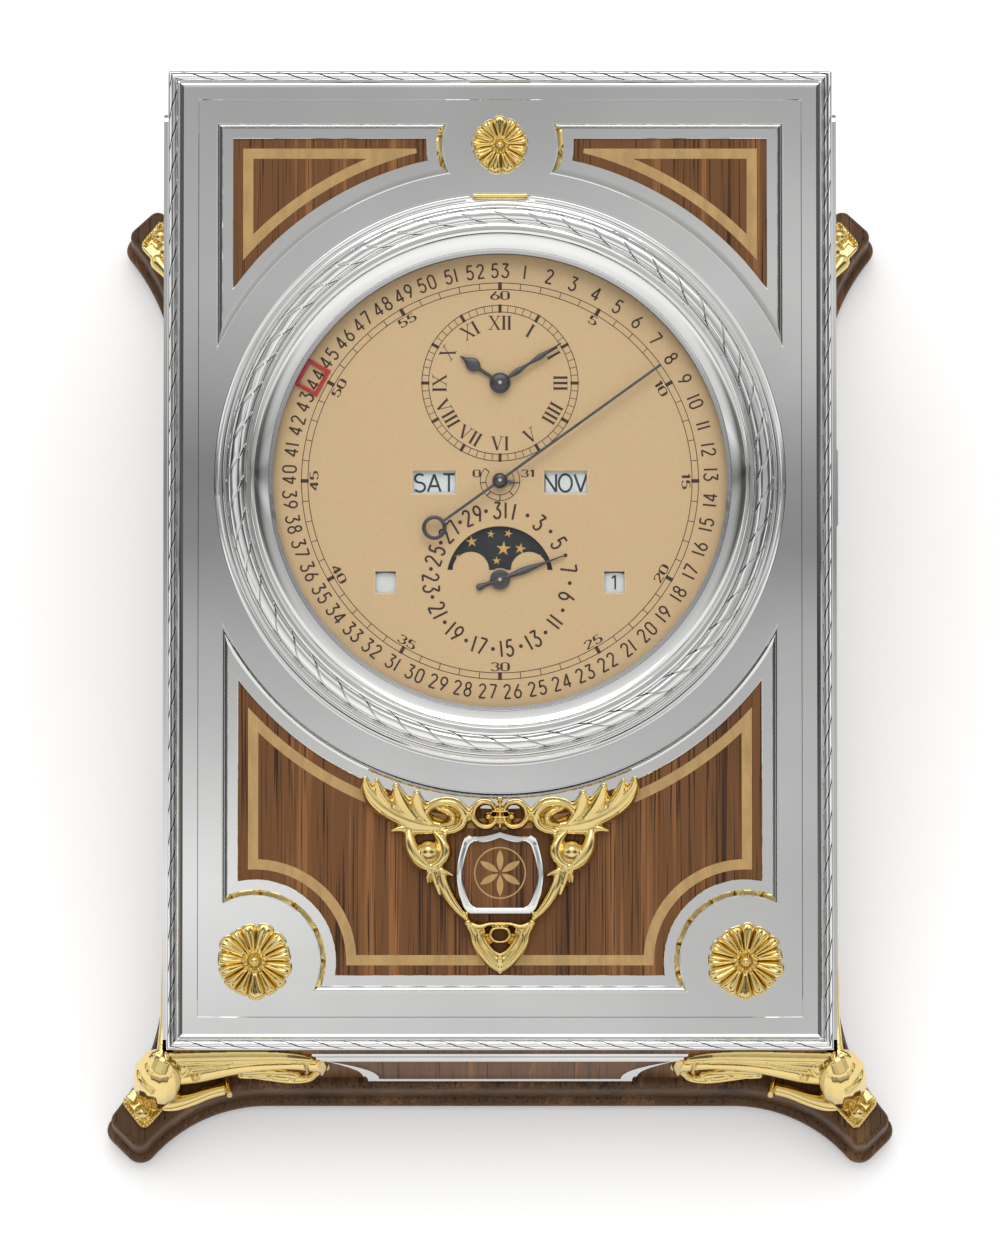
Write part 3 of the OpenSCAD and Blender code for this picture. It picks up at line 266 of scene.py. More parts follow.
# Every node of the model gets its finish; the finer pieces below stand in for some of them
nodeFinish = {
    walnutAlong: ["base_plinth"],
    walnutSlope: ["upper_left_inlay", "upper_right_inlay", "lower_inlay", "shield_inlay"],
    walnutUpright: ["case_shell", "front_inlay", "left_panel", "right_panel", "rear_panel"],
    maple: ["upper_left_string", "upper_right_string", "lower_string"],
    silver: ["front_cartouche", "left_frame", "right_frame", "rear_frame", "face_plate", "rope_frame",
             "shield_frame", "bezel", "dial_flange", "push_piece", "cover_screws"],
    gilt: ["front_left_mount", "front_right_mount", "rear_left_mount", "rear_right_mount", "top_rosette",
           "left_rosette", "right_rosette", "acanthus_mount", "hinge_pin"],
    plated: ["movement_plate", "back_plate", "push_bracket", "push_spring", "plate_screws"],
    steel: ["bottom_cover", "week_ring"],
    brass: ["pillars", "left_barrel", "right_barrel", "minute_wheel"],
    handSteel: ["hour_hand", "minute_hand", "seconds_hand", "reserve_hand", "date_hand"],
    dialPaint: ["dial"],
    discPaint: ["day_disc", "month_disc", "leap_disc", "day_night_disc"],
    nightPaint: ["moon_disc"],
    crystalGlass: ["bezel_crystal"],
    felt: ["felt_pads"],
}
for finish, names in nodeFinish.items():
    for nodeName in names:
        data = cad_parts[nodeName].data
        data.materials.clear()
        data.materials.append(finish)
        data.set_sharp_from_angle(angle=math.radians(28))
        data.polygons.foreach_set("use_smooth", [True] * len(data.polygons))
print("finishes made:", len(bpy.data.materials))


# Shape helpers, all in millimetres in the frame of the piece
class Shape:
    def __init__(self):
        self.verts = []
        self.faces = []

    def add(self, verts, faces):
        start = len(self.verts)
        self.verts.extend(verts)
        self.faces.extend([[start + i for i in face] for face in faces])


def loft(rings, around=False):
    # skins rings of equal length; around joins the last ring to the first, else both ends are capped
    n = len(rings[0])
    verts = [tuple(p) for ring in rings for p in ring]
    faces = []
    for k in range(len(rings) if around else len(rings) - 1):
        a, b = k * n, (k + 1) % len(rings) * n
        faces += [[a + i, a + (i + 1) % n, b + (i + 1) % n, b + i] for i in range(n)]
    if not around:
        faces += [list(range(n - 1, -1, -1)), list(range((len(rings) - 1) * n, len(rings) * n))]
    return verts, faces


def lathe(profile, steps):
    rings = []
    for i in range(steps):
        a = 2 * math.pi * i / steps
        rings.append([(r * math.cos(a), r * math.sin(a), z) for r, z in profile])
    return loft(rings, around=True)


def turned(points, angle, x=0.0, y=0.0):
    # turns flat points clockwise by a clock angle in degrees, then shifts them
    c, s = math.cos(math.radians(angle)), math.sin(math.radians(angle))
    return [(x + px * c + py * s, y - px * s + py * c) for px, py in points]


def ribbon(points, widths, low, high, closed=False):
    # a flat strip of varying width along a path, as a closed solid
    n = len(points)
    rings = []
    for i in range(n):
        a = points[(i - 1) % n if closed else max(i - 1, 0)]
        b = points[(i + 1) % n if closed else min(i + 1, n - 1)]
        dx, dy = b[0] - a[0], b[1] - a[1]
        size = math.hypot(dx, dy) or 1
        nx, ny = -dy / size * widths[i] / 2, dx / size * widths[i] / 2
        x, y = points[i]
        rings.append([(x + nx, y + ny, low), (x - nx, y - ny, low), (x - nx, y - ny, high),
                      (x + nx, y + ny, high)])
    return loft(rings, around=closed)


def slab(outline, low, high):
    return loft([[(x, y, low) for x, y in outline], [(x, y, high) for x, y in outline]])


def arcPoints(x, y, rx, ry, start, end, count):
    angles = [math.radians(start + (end - start) * i / count) for i in range(count + 1)]
    return [(x + rx * math.cos(a), y + ry * math.sin(a)) for a in angles]


def circle(x, y, radius, count):
    return arcPoints(x, y, radius, radius, 0, 360 - 360 / count, count - 1)


def smoothPath(points, perSpan):
    # a soft curve through given points of any dimension
    path = []
    for i in range(len(points) - 1):
        p = [Vector(points[max(0, min(len(points) - 1, i + k))]) for k in (-1, 0, 1, 2)]
        for j in range(perSpan):
            t = j / perSpan
            path.append(0.5 * (2 * p[1] + (p[2] - p[0]) * t + (2 * p[0] - 5 * p[1] + 4 * p[2] - p[3]) * t * t
                               + (3 * p[1] - p[0] - 3 * p[2] + p[3]) * t ** 3))
    path.append(Vector(points[-1]))
    return path


def makePiece(name, shape, material, place, body, standsFor=(), sharp=30):
    mesh = bpy.data.meshes.new(name)
    mesh.from_pydata(shape.verts, [], shape.faces)
    dressMesh(name, mesh, material, place, body, standsFor, sharp)


def dressMesh(name, mesh, material, place, body, standsFor, sharp):
    work = bmesh.new()
    work.from_mesh(mesh)
    bmesh.ops.recalc_face_normals(work, faces=work.faces)
    work.to_mesh(mesh)
    work.free()
    mesh.transform(place)
    mesh.materials.append(material)
    mesh.polygons.foreach_set("use_smooth", [True] * len(mesh.polygons))
    mesh.set_sharp_from_angle(angle=math.radians(sharp))
    piece = bpy.data.objects.new(name, mesh)
    scene.collection.objects.link(piece)
    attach(piece, body)
    for nodeName in standsFor:
        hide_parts(nodeName)


# Letters and figures are drawn as strokes in a box one unit high; a pen gives each style its weight
def bowl(x, y, rx, ry, start, end):
    return arcPoints(x, y, rx, ry, start, end, max(4, round(abs(end - start) / 18)))


strokes = {
    "0": (0.5, [bowl(0.25, 0.74, 0.23, 0.26, 0, 180) + bowl(0.25, 0.26, 0.23, 0.26, 180, 360)
                + [(0.48, 0.74)]]),
    "1": (0.3, [[(0.02, 0.8), (0.2, 1), (0.2, 0)]]),
    "2": (0.5, [bowl(0.25, 0.76, 0.22, 0.24, 170, -35) + [(0.03, 0), (0.5, 0)]]),
    "3": (0.5, [bowl(0.24, 0.77, 0.2, 0.23, 160, -80), bowl(0.24, 0.27, 0.24, 0.27, 80, -160)]),
    "flat 3": (0.48, [[(0.03, 1), (0.45, 1), (0.2, 0.6)] + bowl(0.22, 0.29, 0.25, 0.29, 85, -160)]),
    "bare 1": (0.06, [[(0.03, 1), (0.03, 0)]]),
    "4": (0.54, [[(0.38, 0), (0.38, 1), (0, 0.25), (0.54, 0.25)]]),
    "5": (0.5, [[(0.46, 1), (0.1, 1), (0.06, 0.52)] + bowl(0.24, 0.31, 0.24, 0.31, 125, -155)]),
    "6": (0.5, [[(0.34, 1)] + bowl(0.25, 0.29, 0.23, 0.29, 150, 510)]),
    "7": (0.48, [[(0, 1), (0.48, 1), (0.16, 0)]]),
    "8": (0.5, [bowl(0.25, 0.77, 0.19, 0.23, 0, 360), bowl(0.25, 0.27, 0.23, 0.27, 0, 360)]),
    "9": (0.5, [[(0.16, 0)] + bowl(0.25, 0.71, 0.23, 0.29, -30, -390)]),
    "A": (0.56, [[(0, 0), (0.28, 1), (0.56, 0)], [(0.1, 0.32), (0.46, 0.32)]]),
    "B": (0.48, [[(0, 0), (0, 1), (0.24, 1)] + bowl(0.24, 0.76, 0.2, 0.24, 90, -90) + [(0.05, 0.52)],
                 [(0.24, 0.52)] + bowl(0.24, 0.26, 0.24, 0.26, 90, -90) + [(0, 0)]]),
    "C": (0.52, [bowl(0.28, 0.5, 0.28, 0.5, 50, 310)]),
    "D": (0.5, [[(0, 0), (0, 1), (0.2, 1)] + bowl(0.2, 0.5, 0.3, 0.5, 90, -90) + [(0, 0)]]),
    "E": (0.44, [[(0.44, 1), (0, 1), (0, 0), (0.44, 0)], [(0, 0.52), (0.38, 0.52)]]),
    "F": (0.42, [[(0.42, 1), (0, 1), (0, 0)], [(0, 0.52), (0.36, 0.52)]]),
    "G": (0.54, [bowl(0.28, 0.5, 0.28, 0.5, 50, 330) + [(0.53, 0.45), (0.3, 0.45)]]),
    "H": (0.5, [[(0, 0), (0, 1)], [(0.5, 0), (0.5, 1)], [(0, 0.52), (0.5, 0.52)]]),
    "I": (0.04, [[(0.02, 0), (0.02, 1)]]),
    "J": (0.36, [[(0.34, 1), (0.34, 0.26)] + bowl(0.16, 0.22, 0.18, 0.22, 0, -150)]),
    "L": (0.42, [[(0, 1), (0, 0), (0.42, 0)]]),
    "M": (0.64, [[(0, 0), (0, 1), (0.32, 0.3), (0.64, 1), (0.64, 0)]]),
    "N": (0.52, [[(0, 0), (0, 1), (0.52, 0), (0.52, 1)]]),
    "O": (0.58, [bowl(0.29, 0.5, 0.29, 0.5, 0, 360)]),
    "P": (0.48, [[(0, 0), (0, 1), (0.24, 1)] + bowl(0.24, 0.74, 0.24, 0.26, 90, -90) + [(0, 0.48)]]),
    "R": (0.5, [[(0, 0), (0, 1), (0.24, 1)] + bowl(0.24, 0.75, 0.22, 0.25, 90, -90) + [(0, 0.5)],
                [(0.26, 0.5), (0.5, 0)]]),
    "S": (0.48, [bowl(0.24, 0.76, 0.21, 0.24, 40, 250) + bowl(0.24, 0.26, 0.23, 0.26, 75, -150)]),
    "T": (0.5, [[(0.25, 0), (0.25, 1)], [(0, 1), (0.5, 1)]]),
    "U": (0.5, [[(0, 1), (0, 0.28)] + bowl(0.25, 0.26, 0.25, 0.26, 180, 360) + [(0.5, 1)]]),
    "V": (0.54, [[(0, 1), (0.27, 0), (0.54, 1)]]),
    "W": (0.8, [[(0, 1), (0.2, 0), (0.4, 0.8), (0.6, 0), (0.8, 1)]]),
    "X": (0.54, [[(0, 1), (0.54, 0)], [(0.54, 1), (0, 0)]]),
    "Y": (0.54, [[(0, 1), (0.27, 0.5), (0.54, 1)], [(0.27, 0.5), (0.27, 0)]]),
}
pens = {
    "plain": {"thick": 0.135, "thin": 0.135, "wide": 1.0, "gap": 0.29},
    "bold": {"thick": 0.33, "thin": 0.09, "wide": 1.9, "gap": 0.28},
    "roman": {
        "thick": 0.18, "thin": 0.05, "wide": 1.15, "gap": 0.36, "rising": 0.12, "serif": 0.15,
        "serifLine": 0.05,
    },
    "disc": {"thick": 0.13, "thin": 0.13, "wide": 1.3, "gap": 0.15},
}
plainForms = {"1": "bare 1", "3": "flat 3"}  # the light numbers have a bare one and a flat-topped three


def unbent(points, limit=35):
    # splits a path at its sharp corners, so that every stroke keeps its full width
    parts, start = [], 0
    for i in range(1, len(points) - 1):
        before = math.atan2(points[i][1] - points[i - 1][1], points[i][0] - points[i - 1][0])
        after = math.atan2(points[i + 1][1] - points[i][1], points[i + 1][0] - points[i][0])
        bend = abs(math.degrees(after - before)) % 360
        if min(bend, 360 - bend) > limit:
            parts.append(points[start:i + 1])
            start = i
    return parts + [points[start:]]


def drawText(shape, text, height, x, y, turn, pen, low, high, squeeze=1.0):
    # writes centred text; its middle lies at x, y and its up side points along the clock angle
    style = pens[pen]
    wide, thin, extra = style["wide"] * squeeze, style["thin"], style["thick"] - style["thin"]
    glyphs = [plainForms.get(c, c) if pen == "plain" else c for c in text]
    total = sum(strokes[c][0] * wide + style["gap"] for c in glyphs) - style["gap"]
    cursor = -total / 2
    for c in glyphs:
        for path in strokes[c][1]:
            for flat in unbent([((cursor + px * wide) * height, (py - 0.5) * height) for px, py in path]):
                widths = []
                for i in range(len(flat)):
                    a, b = flat[max(i - 1, 0)], flat[min(i + 1, len(flat) - 1)]
                    run, rise = b[0] - a[0], b[1] - a[1]
                    upright = abs(rise) / (math.dist(a, b) or 1)
                    if "rising" in style and run * rise > 0 and abs(run) > 0.1 * height:
                        upright = style["rising"]
                    widths.append((thin + extra * upright ** 2) * height)
                shape.add(*ribbon(turned(flat, turn, x, y), widths, low, high))
            if "serif" in style:
                for endX, endY in (path[0], path[-1]):
                    ends = [cursor + endX * wide + k * style["serif"] for k in (-1, 1)]
                    foot = turned([(end * height, (endY - 0.5) * height) for end in ends], turn, x, y)
                    shape.add(*ribbon(foot, [style["serifLine"] * height] * 2, low, high))
        cursor += strokes[c][0] * wide + style["gap"]


def drawOnRing(shape, text, height, radius, angle, upside, pen, low, high, up=0.0, squeeze=1.0):
    # text on a ring whose middle lies above the dial's; when upside, it stands with its feet outward
    spot = turned([(0, radius)], angle, 0, up)[0]
    drawText(shape, text, height, *spot, angle + (180 if upside else 0), pen, low, high, squeeze)


def ringLine(shape, radius, width, low, high, up=0.0, steps=180):
    angles = [2 * math.pi * i / steps for i in range(steps)]
    path = [(radius * math.sin(a), up + radius * math.cos(a)) for a in angles]
    shape.add(*ribbon(path, [width] * steps, low, high, closed=True))


def tick(shape, inner, outer, angle, width, low, high, up=0.0):
    shape.add(*ribbon(turned([(0, inner), (0, outer)], angle, 0, up), [width] * 2, low, high))


# Everything printed on the dial; radii come from the photo, lengths in millimetres
dial = {
    "top": -1.2, "ink": 0.02, "weekR": 33.1, "weekH": 2.12, "weeks": 53, "trackIn": 30.16, "trackOut": 31.17,
    "line": 0.12, "secondsR": 29.2, "secondsH": 1.28, "hoursUp": 15.4, "hourRingIn": 11.2,
    "hourRingOut": 12.27, "romanR": 9.5, "romanH": 2.1, "dateDown": 15.5, "dateR": 10.85, "dateH": 2.5,
    "dotR": 10.96, "dot": 0.31, "dates": 31, "block": 0.58, "reach": 0.12, "reserveIn": 2.2,
    "reserveOut": 3.1, "reserveTicks": [50, 96, 138, 180, 222, 264, 310], "reserveZero": (-3.64, 1.18),
    "reserveFull": (4.36, 1.18), "reserveH": 1.12,
    "numerals": ["XII", "I", "II", "III", "IIII", "V", "VI", "VII", "VIII", "IX", "X", "XI"],
}


def printDial():
    d = dial
    low, high = d["top"] - 0.01, d["top"] + d["ink"]
    ink = Shape()
    for week in range(1, d["weeks"] + 1):
        angle = 360 * week / d["weeks"]
        drawOnRing(ink, str(week), d["weekH"], d["weekR"], angle, 14 <= week <= 39, "plain", low, high)
    for radius in (d["trackIn"], d["trackOut"]):
        ringLine(ink, radius, d["line"], low, high)
    for radius in (d["hourRingIn"], d["hourRingOut"]):
        ringLine(ink, radius, d["line"], low, high, d["hoursUp"])
    for i in range(60):
        reach, width = (0, d["line"]) if i % 5 else (d["reach"], d["block"])
        tick(ink, d["trackIn"] - reach, d["trackOut"] + reach, 6 * i, width, low, high)
        width *= 0.85
        tick(ink, d["hourRingIn"] - reach, d["hourRingOut"] + reach, 6 * i, width, low, high, d["hoursUp"])
    for i in range(5, 61, 5):
        drawOnRing(ink, str(i), d["secondsH"], d["secondsR"], 6 * i, 20 <= i <= 40, "bold", low, high)
    for hour, numeral in enumerate(d["numerals"]):
        drawOnRing(ink, numeral, d["romanH"], d["romanR"], 30 * hour, 4 <= hour <= 8, "roman", low, high,
                   d["hoursUp"])
    for day in range(1, d["dates"] + 1):
        angle = 360 * day / d["dates"]
        if day % 2:
            drawOnRing(ink, str(day), d["dateH"], d["dateR"], angle, 9 <= day <= 23, "plain", low, high,
                       -d["dateDown"], 0.86)
        else:
            dot = turned([(0, d["dotR"])], angle, 0, -d["dateDown"])[0]
            ink.add(*slab(circle(*dot, d["dot"], 20), low, high))
    start, end = d["reserveTicks"][0], d["reserveTicks"][-1]
    for radius in (d["reserveIn"], d["reserveOut"]):
        arc = [turned([(0, radius)], start + (end - start) * i / 40)[0] for i in range(41)]
        ink.add(*ribbon(arc, [d["line"]] * len(arc), low, high))
    for a in d["reserveTicks"]:
        tick(ink, d["reserveIn"], d["reserveOut"], a, d["line"] * 1.4, low, high)
    drawText(ink, "0", d["reserveH"], *d["reserveZero"], 0, "bold", low, high)
    drawText(ink, "31", d["reserveH"], *d["reserveFull"], 0, "bold", low, high)
    makePiece("dialPrinting", ink, printInk, onDial, "case")


printDial()
print("dial printed")


# Outlines of the raised panels as functions of their inset, as the cabinet maker would scribe them
panels = {
    "side": 41.9, "top": 66.1, "roundDial": 51.6, "roundTop": 11.6, "rosetteUp": 65.1, "lowSide": 41.0,
    "lowBottom": -65.2, "roundCorner": 12.8, "cornerX": 38.4, "cornerY": -63.0, "level": 0.84,
}


def upperOutline(t):
    p = panels
    up = face["dialUp"]
    rd, rr, x, y = p["roundDial"] + t, p["roundTop"] + t, p["side"] - t, p["top"] - t
    apart = p["rosetteUp"] - up
    h = (apart * apart + rd * rd - rr * rr) / (2 * apart)
    c = (math.sqrt(rd * rd - h * h), h)
    start = math.degrees(math.acos(x / rd))
    low = math.degrees(math.atan2(up + h - p["rosetteUp"], c[0]))
    high = math.degrees(math.asin((y - p["rosetteUp"]) / rr))
    meet = math.degrees(math.atan2(c[1], c[0]))
    tip = math.degrees(math.asin(min(1, (y - up) / rd)))
    if tip < meet:
        # far enough in, the large arc reaches the top edge before the small one, and the tip is plain
        points = arcPoints(0, up, rd, rd, start, tip, 40)
        return points + [(points[-1][0] + 0.05 * i, y) for i in range(1, 11)] + [(x, y)]
    points = arcPoints(0, up, rd, rd, start, meet, 40)
    return points + arcPoints(0, p["rosetteUp"], rr, rr, low, high, 10)[1:] + [(x, y)]


def lowerOutline(t):
    p = panels
    rd, rc, x, y = p["roundDial"] + t, p["roundCorner"] + t, p["lowSide"] - t, p["lowBottom"] + t
    half = arcPoints(0, face["dialUp"], rd, rd, -90, -math.degrees(math.acos(x / rd)), 40)
    start = math.degrees(math.acos((x - p["cornerX"]) / rc))
    end = 180 - math.degrees(math.asin((y - p["cornerY"]) / rc))
    half += arcPoints(p["cornerX"], p["cornerY"], rc, rc, start, end, 16)
    return half + [(-px, py) for px, py in reversed(half[1:])]


def rectangle(x, low, high):
    return [(-x, low), (x, low), (x, high), (-x, high)]


plate = {
    "x": 50.3, "y": 75.0, "thick": 2.2, "hole": 37.4, "fieldX": 47.4, "fieldLow": -71.8, "fieldHigh": 72.4,
    "fieldUp": 0.2, "gapR": 45.35,
    "edge": [(0, -0.1), (0, 0.4), (0.1, 0.58), (0.3, 0.66), (0.48, 0.56), (0.6, 0.3), (0.6, -0.1)],
    "bevel": [(-2.62, 0.1), (-2.62, 0.23), (-2.58, 0.26), (-2.5, 0.26), (-2.46, 0.22), (-1.62, 1.06),
              (-0.06, 1.06), (0.0, 1.0), (0.0, 0.1)],
}


def holedSlab(x, low, high, radius, rim, bottom):
    # a flat slab with a round hole; rim lists inset and height from the bottom edge to the top
    cy = face["dialUp"]
    corners = [math.degrees(math.atan2(py - cy, px)) % 360 for px, py in rectangle(x, low, high)]
    angles = sorted(set([i * 2.5 for i in range(144)] + corners))
    spokes = [(math.cos(math.radians(a)), math.sin(math.radians(a))) for a in angles]
    rings = []
    for inset, z in rim:
        ring = []
        for c, s in spokes:
            sideways = (x - inset) / abs(c) if abs(c) > 1e-9 else 1e9
            edge = high - inset if s > 0 else low + inset
            far = min(sideways, (edge - cy) / s if abs(s) > 1e-9 else 1e9)
            ring.append((far * c, cy + far * s, z))
        rings.append(ring)
    for z in (rim[-1][1], bottom):
        rings.append([(radius * c, cy + radius * s, z) for c, s in spokes])
    return loft(rings, around=True)


def framed(outline, section):
    # sweeps a section of inset and height round an outline that knows its own inset
    return loft([[(x, y, z) for x, y in outline(t)] for t, z in section], around=True)


def makeFacePlate():
    p = plate
    shape = Shape()
    shape.add(*holedSlab(p["x"], -p["y"], p["y"], p["hole"], [(0, -p["thick"]), (0, 0)], -p["thick"]))
    shape.add(*holedSlab(p["fieldX"], p["fieldLow"], p["fieldHigh"], p["gapR"],
                         [(0, -0.05), (0, 0.1), (0.1, p["fieldUp"])], -0.05))
    shape.add(*framed(lambda t: rectangle(p["x"] - t, -p["y"] + t, p["y"] - t), p["edge"]))
    shape.add(*framed(upperOutline, p["bevel"]))
    shape.add(*framed(mirrored(upperOutline), p["bevel"]))
    shape.add(*framed(lowerOutline, p["bevel"]))
    makePiece("facePlate", shape, silver, onFace, "case", ["face_plate"], 20)


# Walnut let into the panels, with a band of light stringing
marquetry = {"low": 0.15, "top": 0.8, "bandIn": 1.55, "bandWide": 1.6, "bandUp": 0.012}


def mirrored(outline):
    return lambda t: [(-x, y) for x, y in reversed(outline(t))]


def makeMarquetry():
    m = marquetry
    wood, band = Shape(), Shape()
    high = m["top"] + m["bandUp"]
    for outline in (upperOutline, mirrored(upperOutline), lowerOutline):
        wood.add(*slab(outline(0.01), m["low"], m["top"]))
        section = [(0, m["low"]), (0, high), (m["bandWide"], high), (m["bandWide"], m["low"])]
        band.add(*framed(lambda t: outline(m["bandIn"] + t), section))
    makePiece("panelWood", wood, walnutSlope, onFace, "case",
              ["upper_left_inlay", "upper_right_inlay", "lower_inlay"], 20)
    makePiece("panelStringing", band, maple, onFace, "case",
              ["upper_left_string", "upper_right_string", "lower_string"], 20)


# Rope moulding: long slanted leaves, each lapping over the next; grid lines follow the grooves
rope = {
    "width": 1.9, "low": -2.2, "pitch": 4.96, "rows": 16, "groove": 0.34, "swell": 0.2, "lean": 0.62,
    "sharp": 0.05, "columns": [0.0, 0.025, 0.05, 0.085, 0.13, 0.25, 0.45, 0.65, 0.82, 0.92, 0.97, 0.99],
    "middle": 0.86, "half": 0.66, "seat": 0.22, "dome": 0.52, "round": 0.7, "fade": 2.4, "tip": 3,
    "climb": 1.5, "straight": 0.55, "bend": 0.45, "foot": [(0.0, -2.2), (0.0, 0.1), (0.05, 0.22)],
    "fillet": [(1.56, 0.3), (1.6, 0.66), (1.66, 0.72), (1.84, 0.72), (1.9, 0.66)],
    "sides": [(0, 104.4, 76.9), (180, 104.4, 76.9), (90, 153.8, 52.2), (270, 153.8, 52.2)],
}


def leafHeight(t):
    # low at the groove, rising softly along the leaf to its tip
    groove = math.exp(-(min(t, (1 - t) * rope["tip"]) / rope["sharp"]) ** 2)
    return -rope["groove"] * groove + rope["swell"] * t ** rope["climb"]


def leafLean(v):
    return rope["lean"] * (rope["straight"] * v + rope["bend"] * v ** 3)


def ropeRun(length):
    count = round(length / rope["pitch"])
    step = length / count
    stations = [(k + t) * step - length / 2 for k in range(-1, count + 1) for t in rope["columns"]]
    heights = [leafHeight(t) for k in range(-1, count + 1) for t in rope["columns"]]
    rings = []
    for s, h in zip(stations, heights):
        across = [(depth, z, 0) for depth, z in rope["foot"]]
        for i in range(rope["rows"] + 1):
            v = -1 + 2 * i / rope["rows"]
            dome = 1 - v * v
            z = rope["seat"] + rope["dome"] * dome ** rope["round"] + h * min(1, dome * rope["fade"])
            across.append((rope["middle"] + rope["half"] * v, z, -leafLean(v) * step))
        across += [(depth, z, 0) for depth, z in rope["fillet"] + [(rope["width"], rope["low"])]]
        ring = []
        for depth, z, shift in across:
            reach = length / 2 - depth
            ring.append((max(-reach, min(reach, s + shift)), depth, z))
        rings.append(ring)
    return loft(rings)


def makeRopeFrame():
    shape = Shape()
    for turn, length, off in rope["sides"]:  # the distance runs from the face's middle to the outer edge
        verts, faces = ropeRun(length)
        flat = turned([(x, y - off) for x, y, z in verts], turn)
        shape.add([(x, y, v[2]) for (x, y), v in zip(flat, verts)], faces)
    makePiece("ropeMoulding", shape, silver, onFace, "case", ["rope_frame"], 40)


# Bezel: hollow band, fine steps, rope of leaves, outer fillets, open at twelve for its hinge
bezel = {
    "leaves": 50, "steps": 288, "ropeR": 41.35, "ropeW": 1.22, "ropeZ": 3.95, "ropeFoot": 3.5,
    "ropeUp": 0.95, "crest": -0.15, "steep": 0.8, "flat": 0.36, "notch": 5.6, "notchR": 43.95, "hinge": 44.6,
    "lugLow": 1.2, "lugHigh": 2.2, "lugX": 1.9, "lugs": (2.05, 4.3), "lugBase": 44.0, "lugPast": 0.35,
    "fade": 2.2, "flange": [(36.2, -2.2), (37.4, -2.2), (37.4, 0.5), (37.3, 0.6), (36.3, 0.6), (36.2, 0.5)],
    "inner": [(35.6, 0.9), (35.6, 1.5), (36.25, 1.5), (36.25, 2.38), (36.32, 2.46), (36.6, 2.5), (37.2, 2.6),
              (37.8, 2.73), (38.4, 2.9), (38.52, 2.98), (38.6, 3.86), (38.7, 4.0), (39.02, 4.06),
              (39.08, 4.42), (39.2, 4.5), (39.62, 4.5), (39.74, 4.4), (39.8, 4.15), (40.08, 4.1),
              (40.15, 3.9)],
    "outer": [(42.6, 3.9), (42.65, 4.15), (42.8, 4.3), (43.05, 4.3), (43.2, 4.1), (43.25, 3.75),
              (43.4, 3.65), (43.55, 3.75), (43.75, 3.75), (43.9, 3.55), (43.95, 3.2), (44.15, 3.05),
              (44.4, 3.1), (44.65, 2.95), (44.8, 2.6), (44.85, 0.6), (38.4, 0.6), (38.4, 2.3), (37.2, 1.5),
              (37.2, 0.9)],
}


def onBezelRope(v, place):
    # v runs across the rope from -1 to 1; place counts the leaves round the ring
    b = bezel
    return turned([(0, b["ropeR"] + b["ropeW"] * v)], 360 / b["leaves"] * (place - leafLean(v)))[0]


def makeBezel():
    b = bezel
    shape = Shape()
    profile = b["inner"] + b["outer"]
    rings = []
    for i in range(b["steps"]):
        a = 360 * i / b["steps"]
        inNotch = min(a, 360 - a) < b["notch"]
        rings.append([(*turned([(0, min(r, b["notchR"]) if inNotch else r)], a)[0], z) for r, z in profile])
    shape.add(*loft(rings, around=True))
    rings = []
    for k in range(b["leaves"]):
        for t in rope["columns"]:
            h = leafHeight(t)
            ring = []
            for i in range(rope["rows"] + 1):
                v = -1 + 2 * i / rope["rows"]
                outside = v > b["crest"]
                away = (v - b["crest"]) / (1 - b["crest"] if outside else 1 + b["crest"])
                dome = max(0.0, 1 - away * away)
                crest = b["ropeUp"] * dome ** b["flat" if outside else "steep"]
                z = b["ropeZ"] + crest + h * min(1, dome * b["fade"])
                ring.append((*onBezelRope(v, k + t), z))
            ring += [(*onBezelRope(v, k + t), b["ropeFoot"]) for v in (1, -1)]
            rings.append(ring)
    shape.add(*loft(rings, around=True))
    shape.add(*slab(rectangle(b["lugX"], 43.4, b["hinge"] + 0.3), b["lugLow"], b["lugHigh"]))
    makePiece("bezelRing", shape, silver, onDial, "bezel", ["bezel"], 30)


def makeFlange():
    # the ring that holds the dial, with two lugs that carry the hinge pin
    b = bezel
    shape = Shape()
    shape.add(*lathe(b["flange"], 144))
    base, top = b["lugBase"], b["hinge"] + b["lugPast"]
    for side in (1, -1):
        low, high = sorted((side * b["lugs"][0], side * b["lugs"][1]))
        shape.add(*slab([(low, base), (high, base), (high, top), (low, top)], 0.0, b["lugHigh"]))
    makePiece("dialFlange", shape, silver, onDial, "case", ["dial_flange"], 30)


# Rosettes: broad uneven petals round a knobbly heart, drawn as a height over a round grid
rosettes = {
    "topRosette": {"node": "top_rosette", "x": 0, "y": 65.1, "r": 4.75, "up": 1.35, "seed": 3, "petals": 13},
    "leftRosette": {"node": "left_rosette", "x": -38.4, "y": -63.0, "r": 6.3, "up": 1.75, "seed": 5,
                    "petals": 14},
    "rightRosette": {"node": "right_rosette", "x": 38.4, "y": -63.0, "r": 6.3, "up": 1.75, "seed": 8,
                     "petals": 14},
}
petalForm = {
    "foot": 0.25, "wide": 0.22, "lean": 0.5, "tall": 0.18, "short": 0.1, "scallop": 0.16, "fold": 0.3,
    "heart": 0.36, "lobes": 7, "ball": 0.17, "steps": 18, "outward": 48, "crestAt": 0.78, "crestFall": 0.22,
    "crestPower": 0.7, "spanFrom": 0.25, "drop": 0.75, "dropPower": 2.6, "tilt": 0.6, "foldWide": 0.11,
    "level": 0.35, "rise": 0.65, "rimAt": 0.98, "rimUp": 0.5,
}


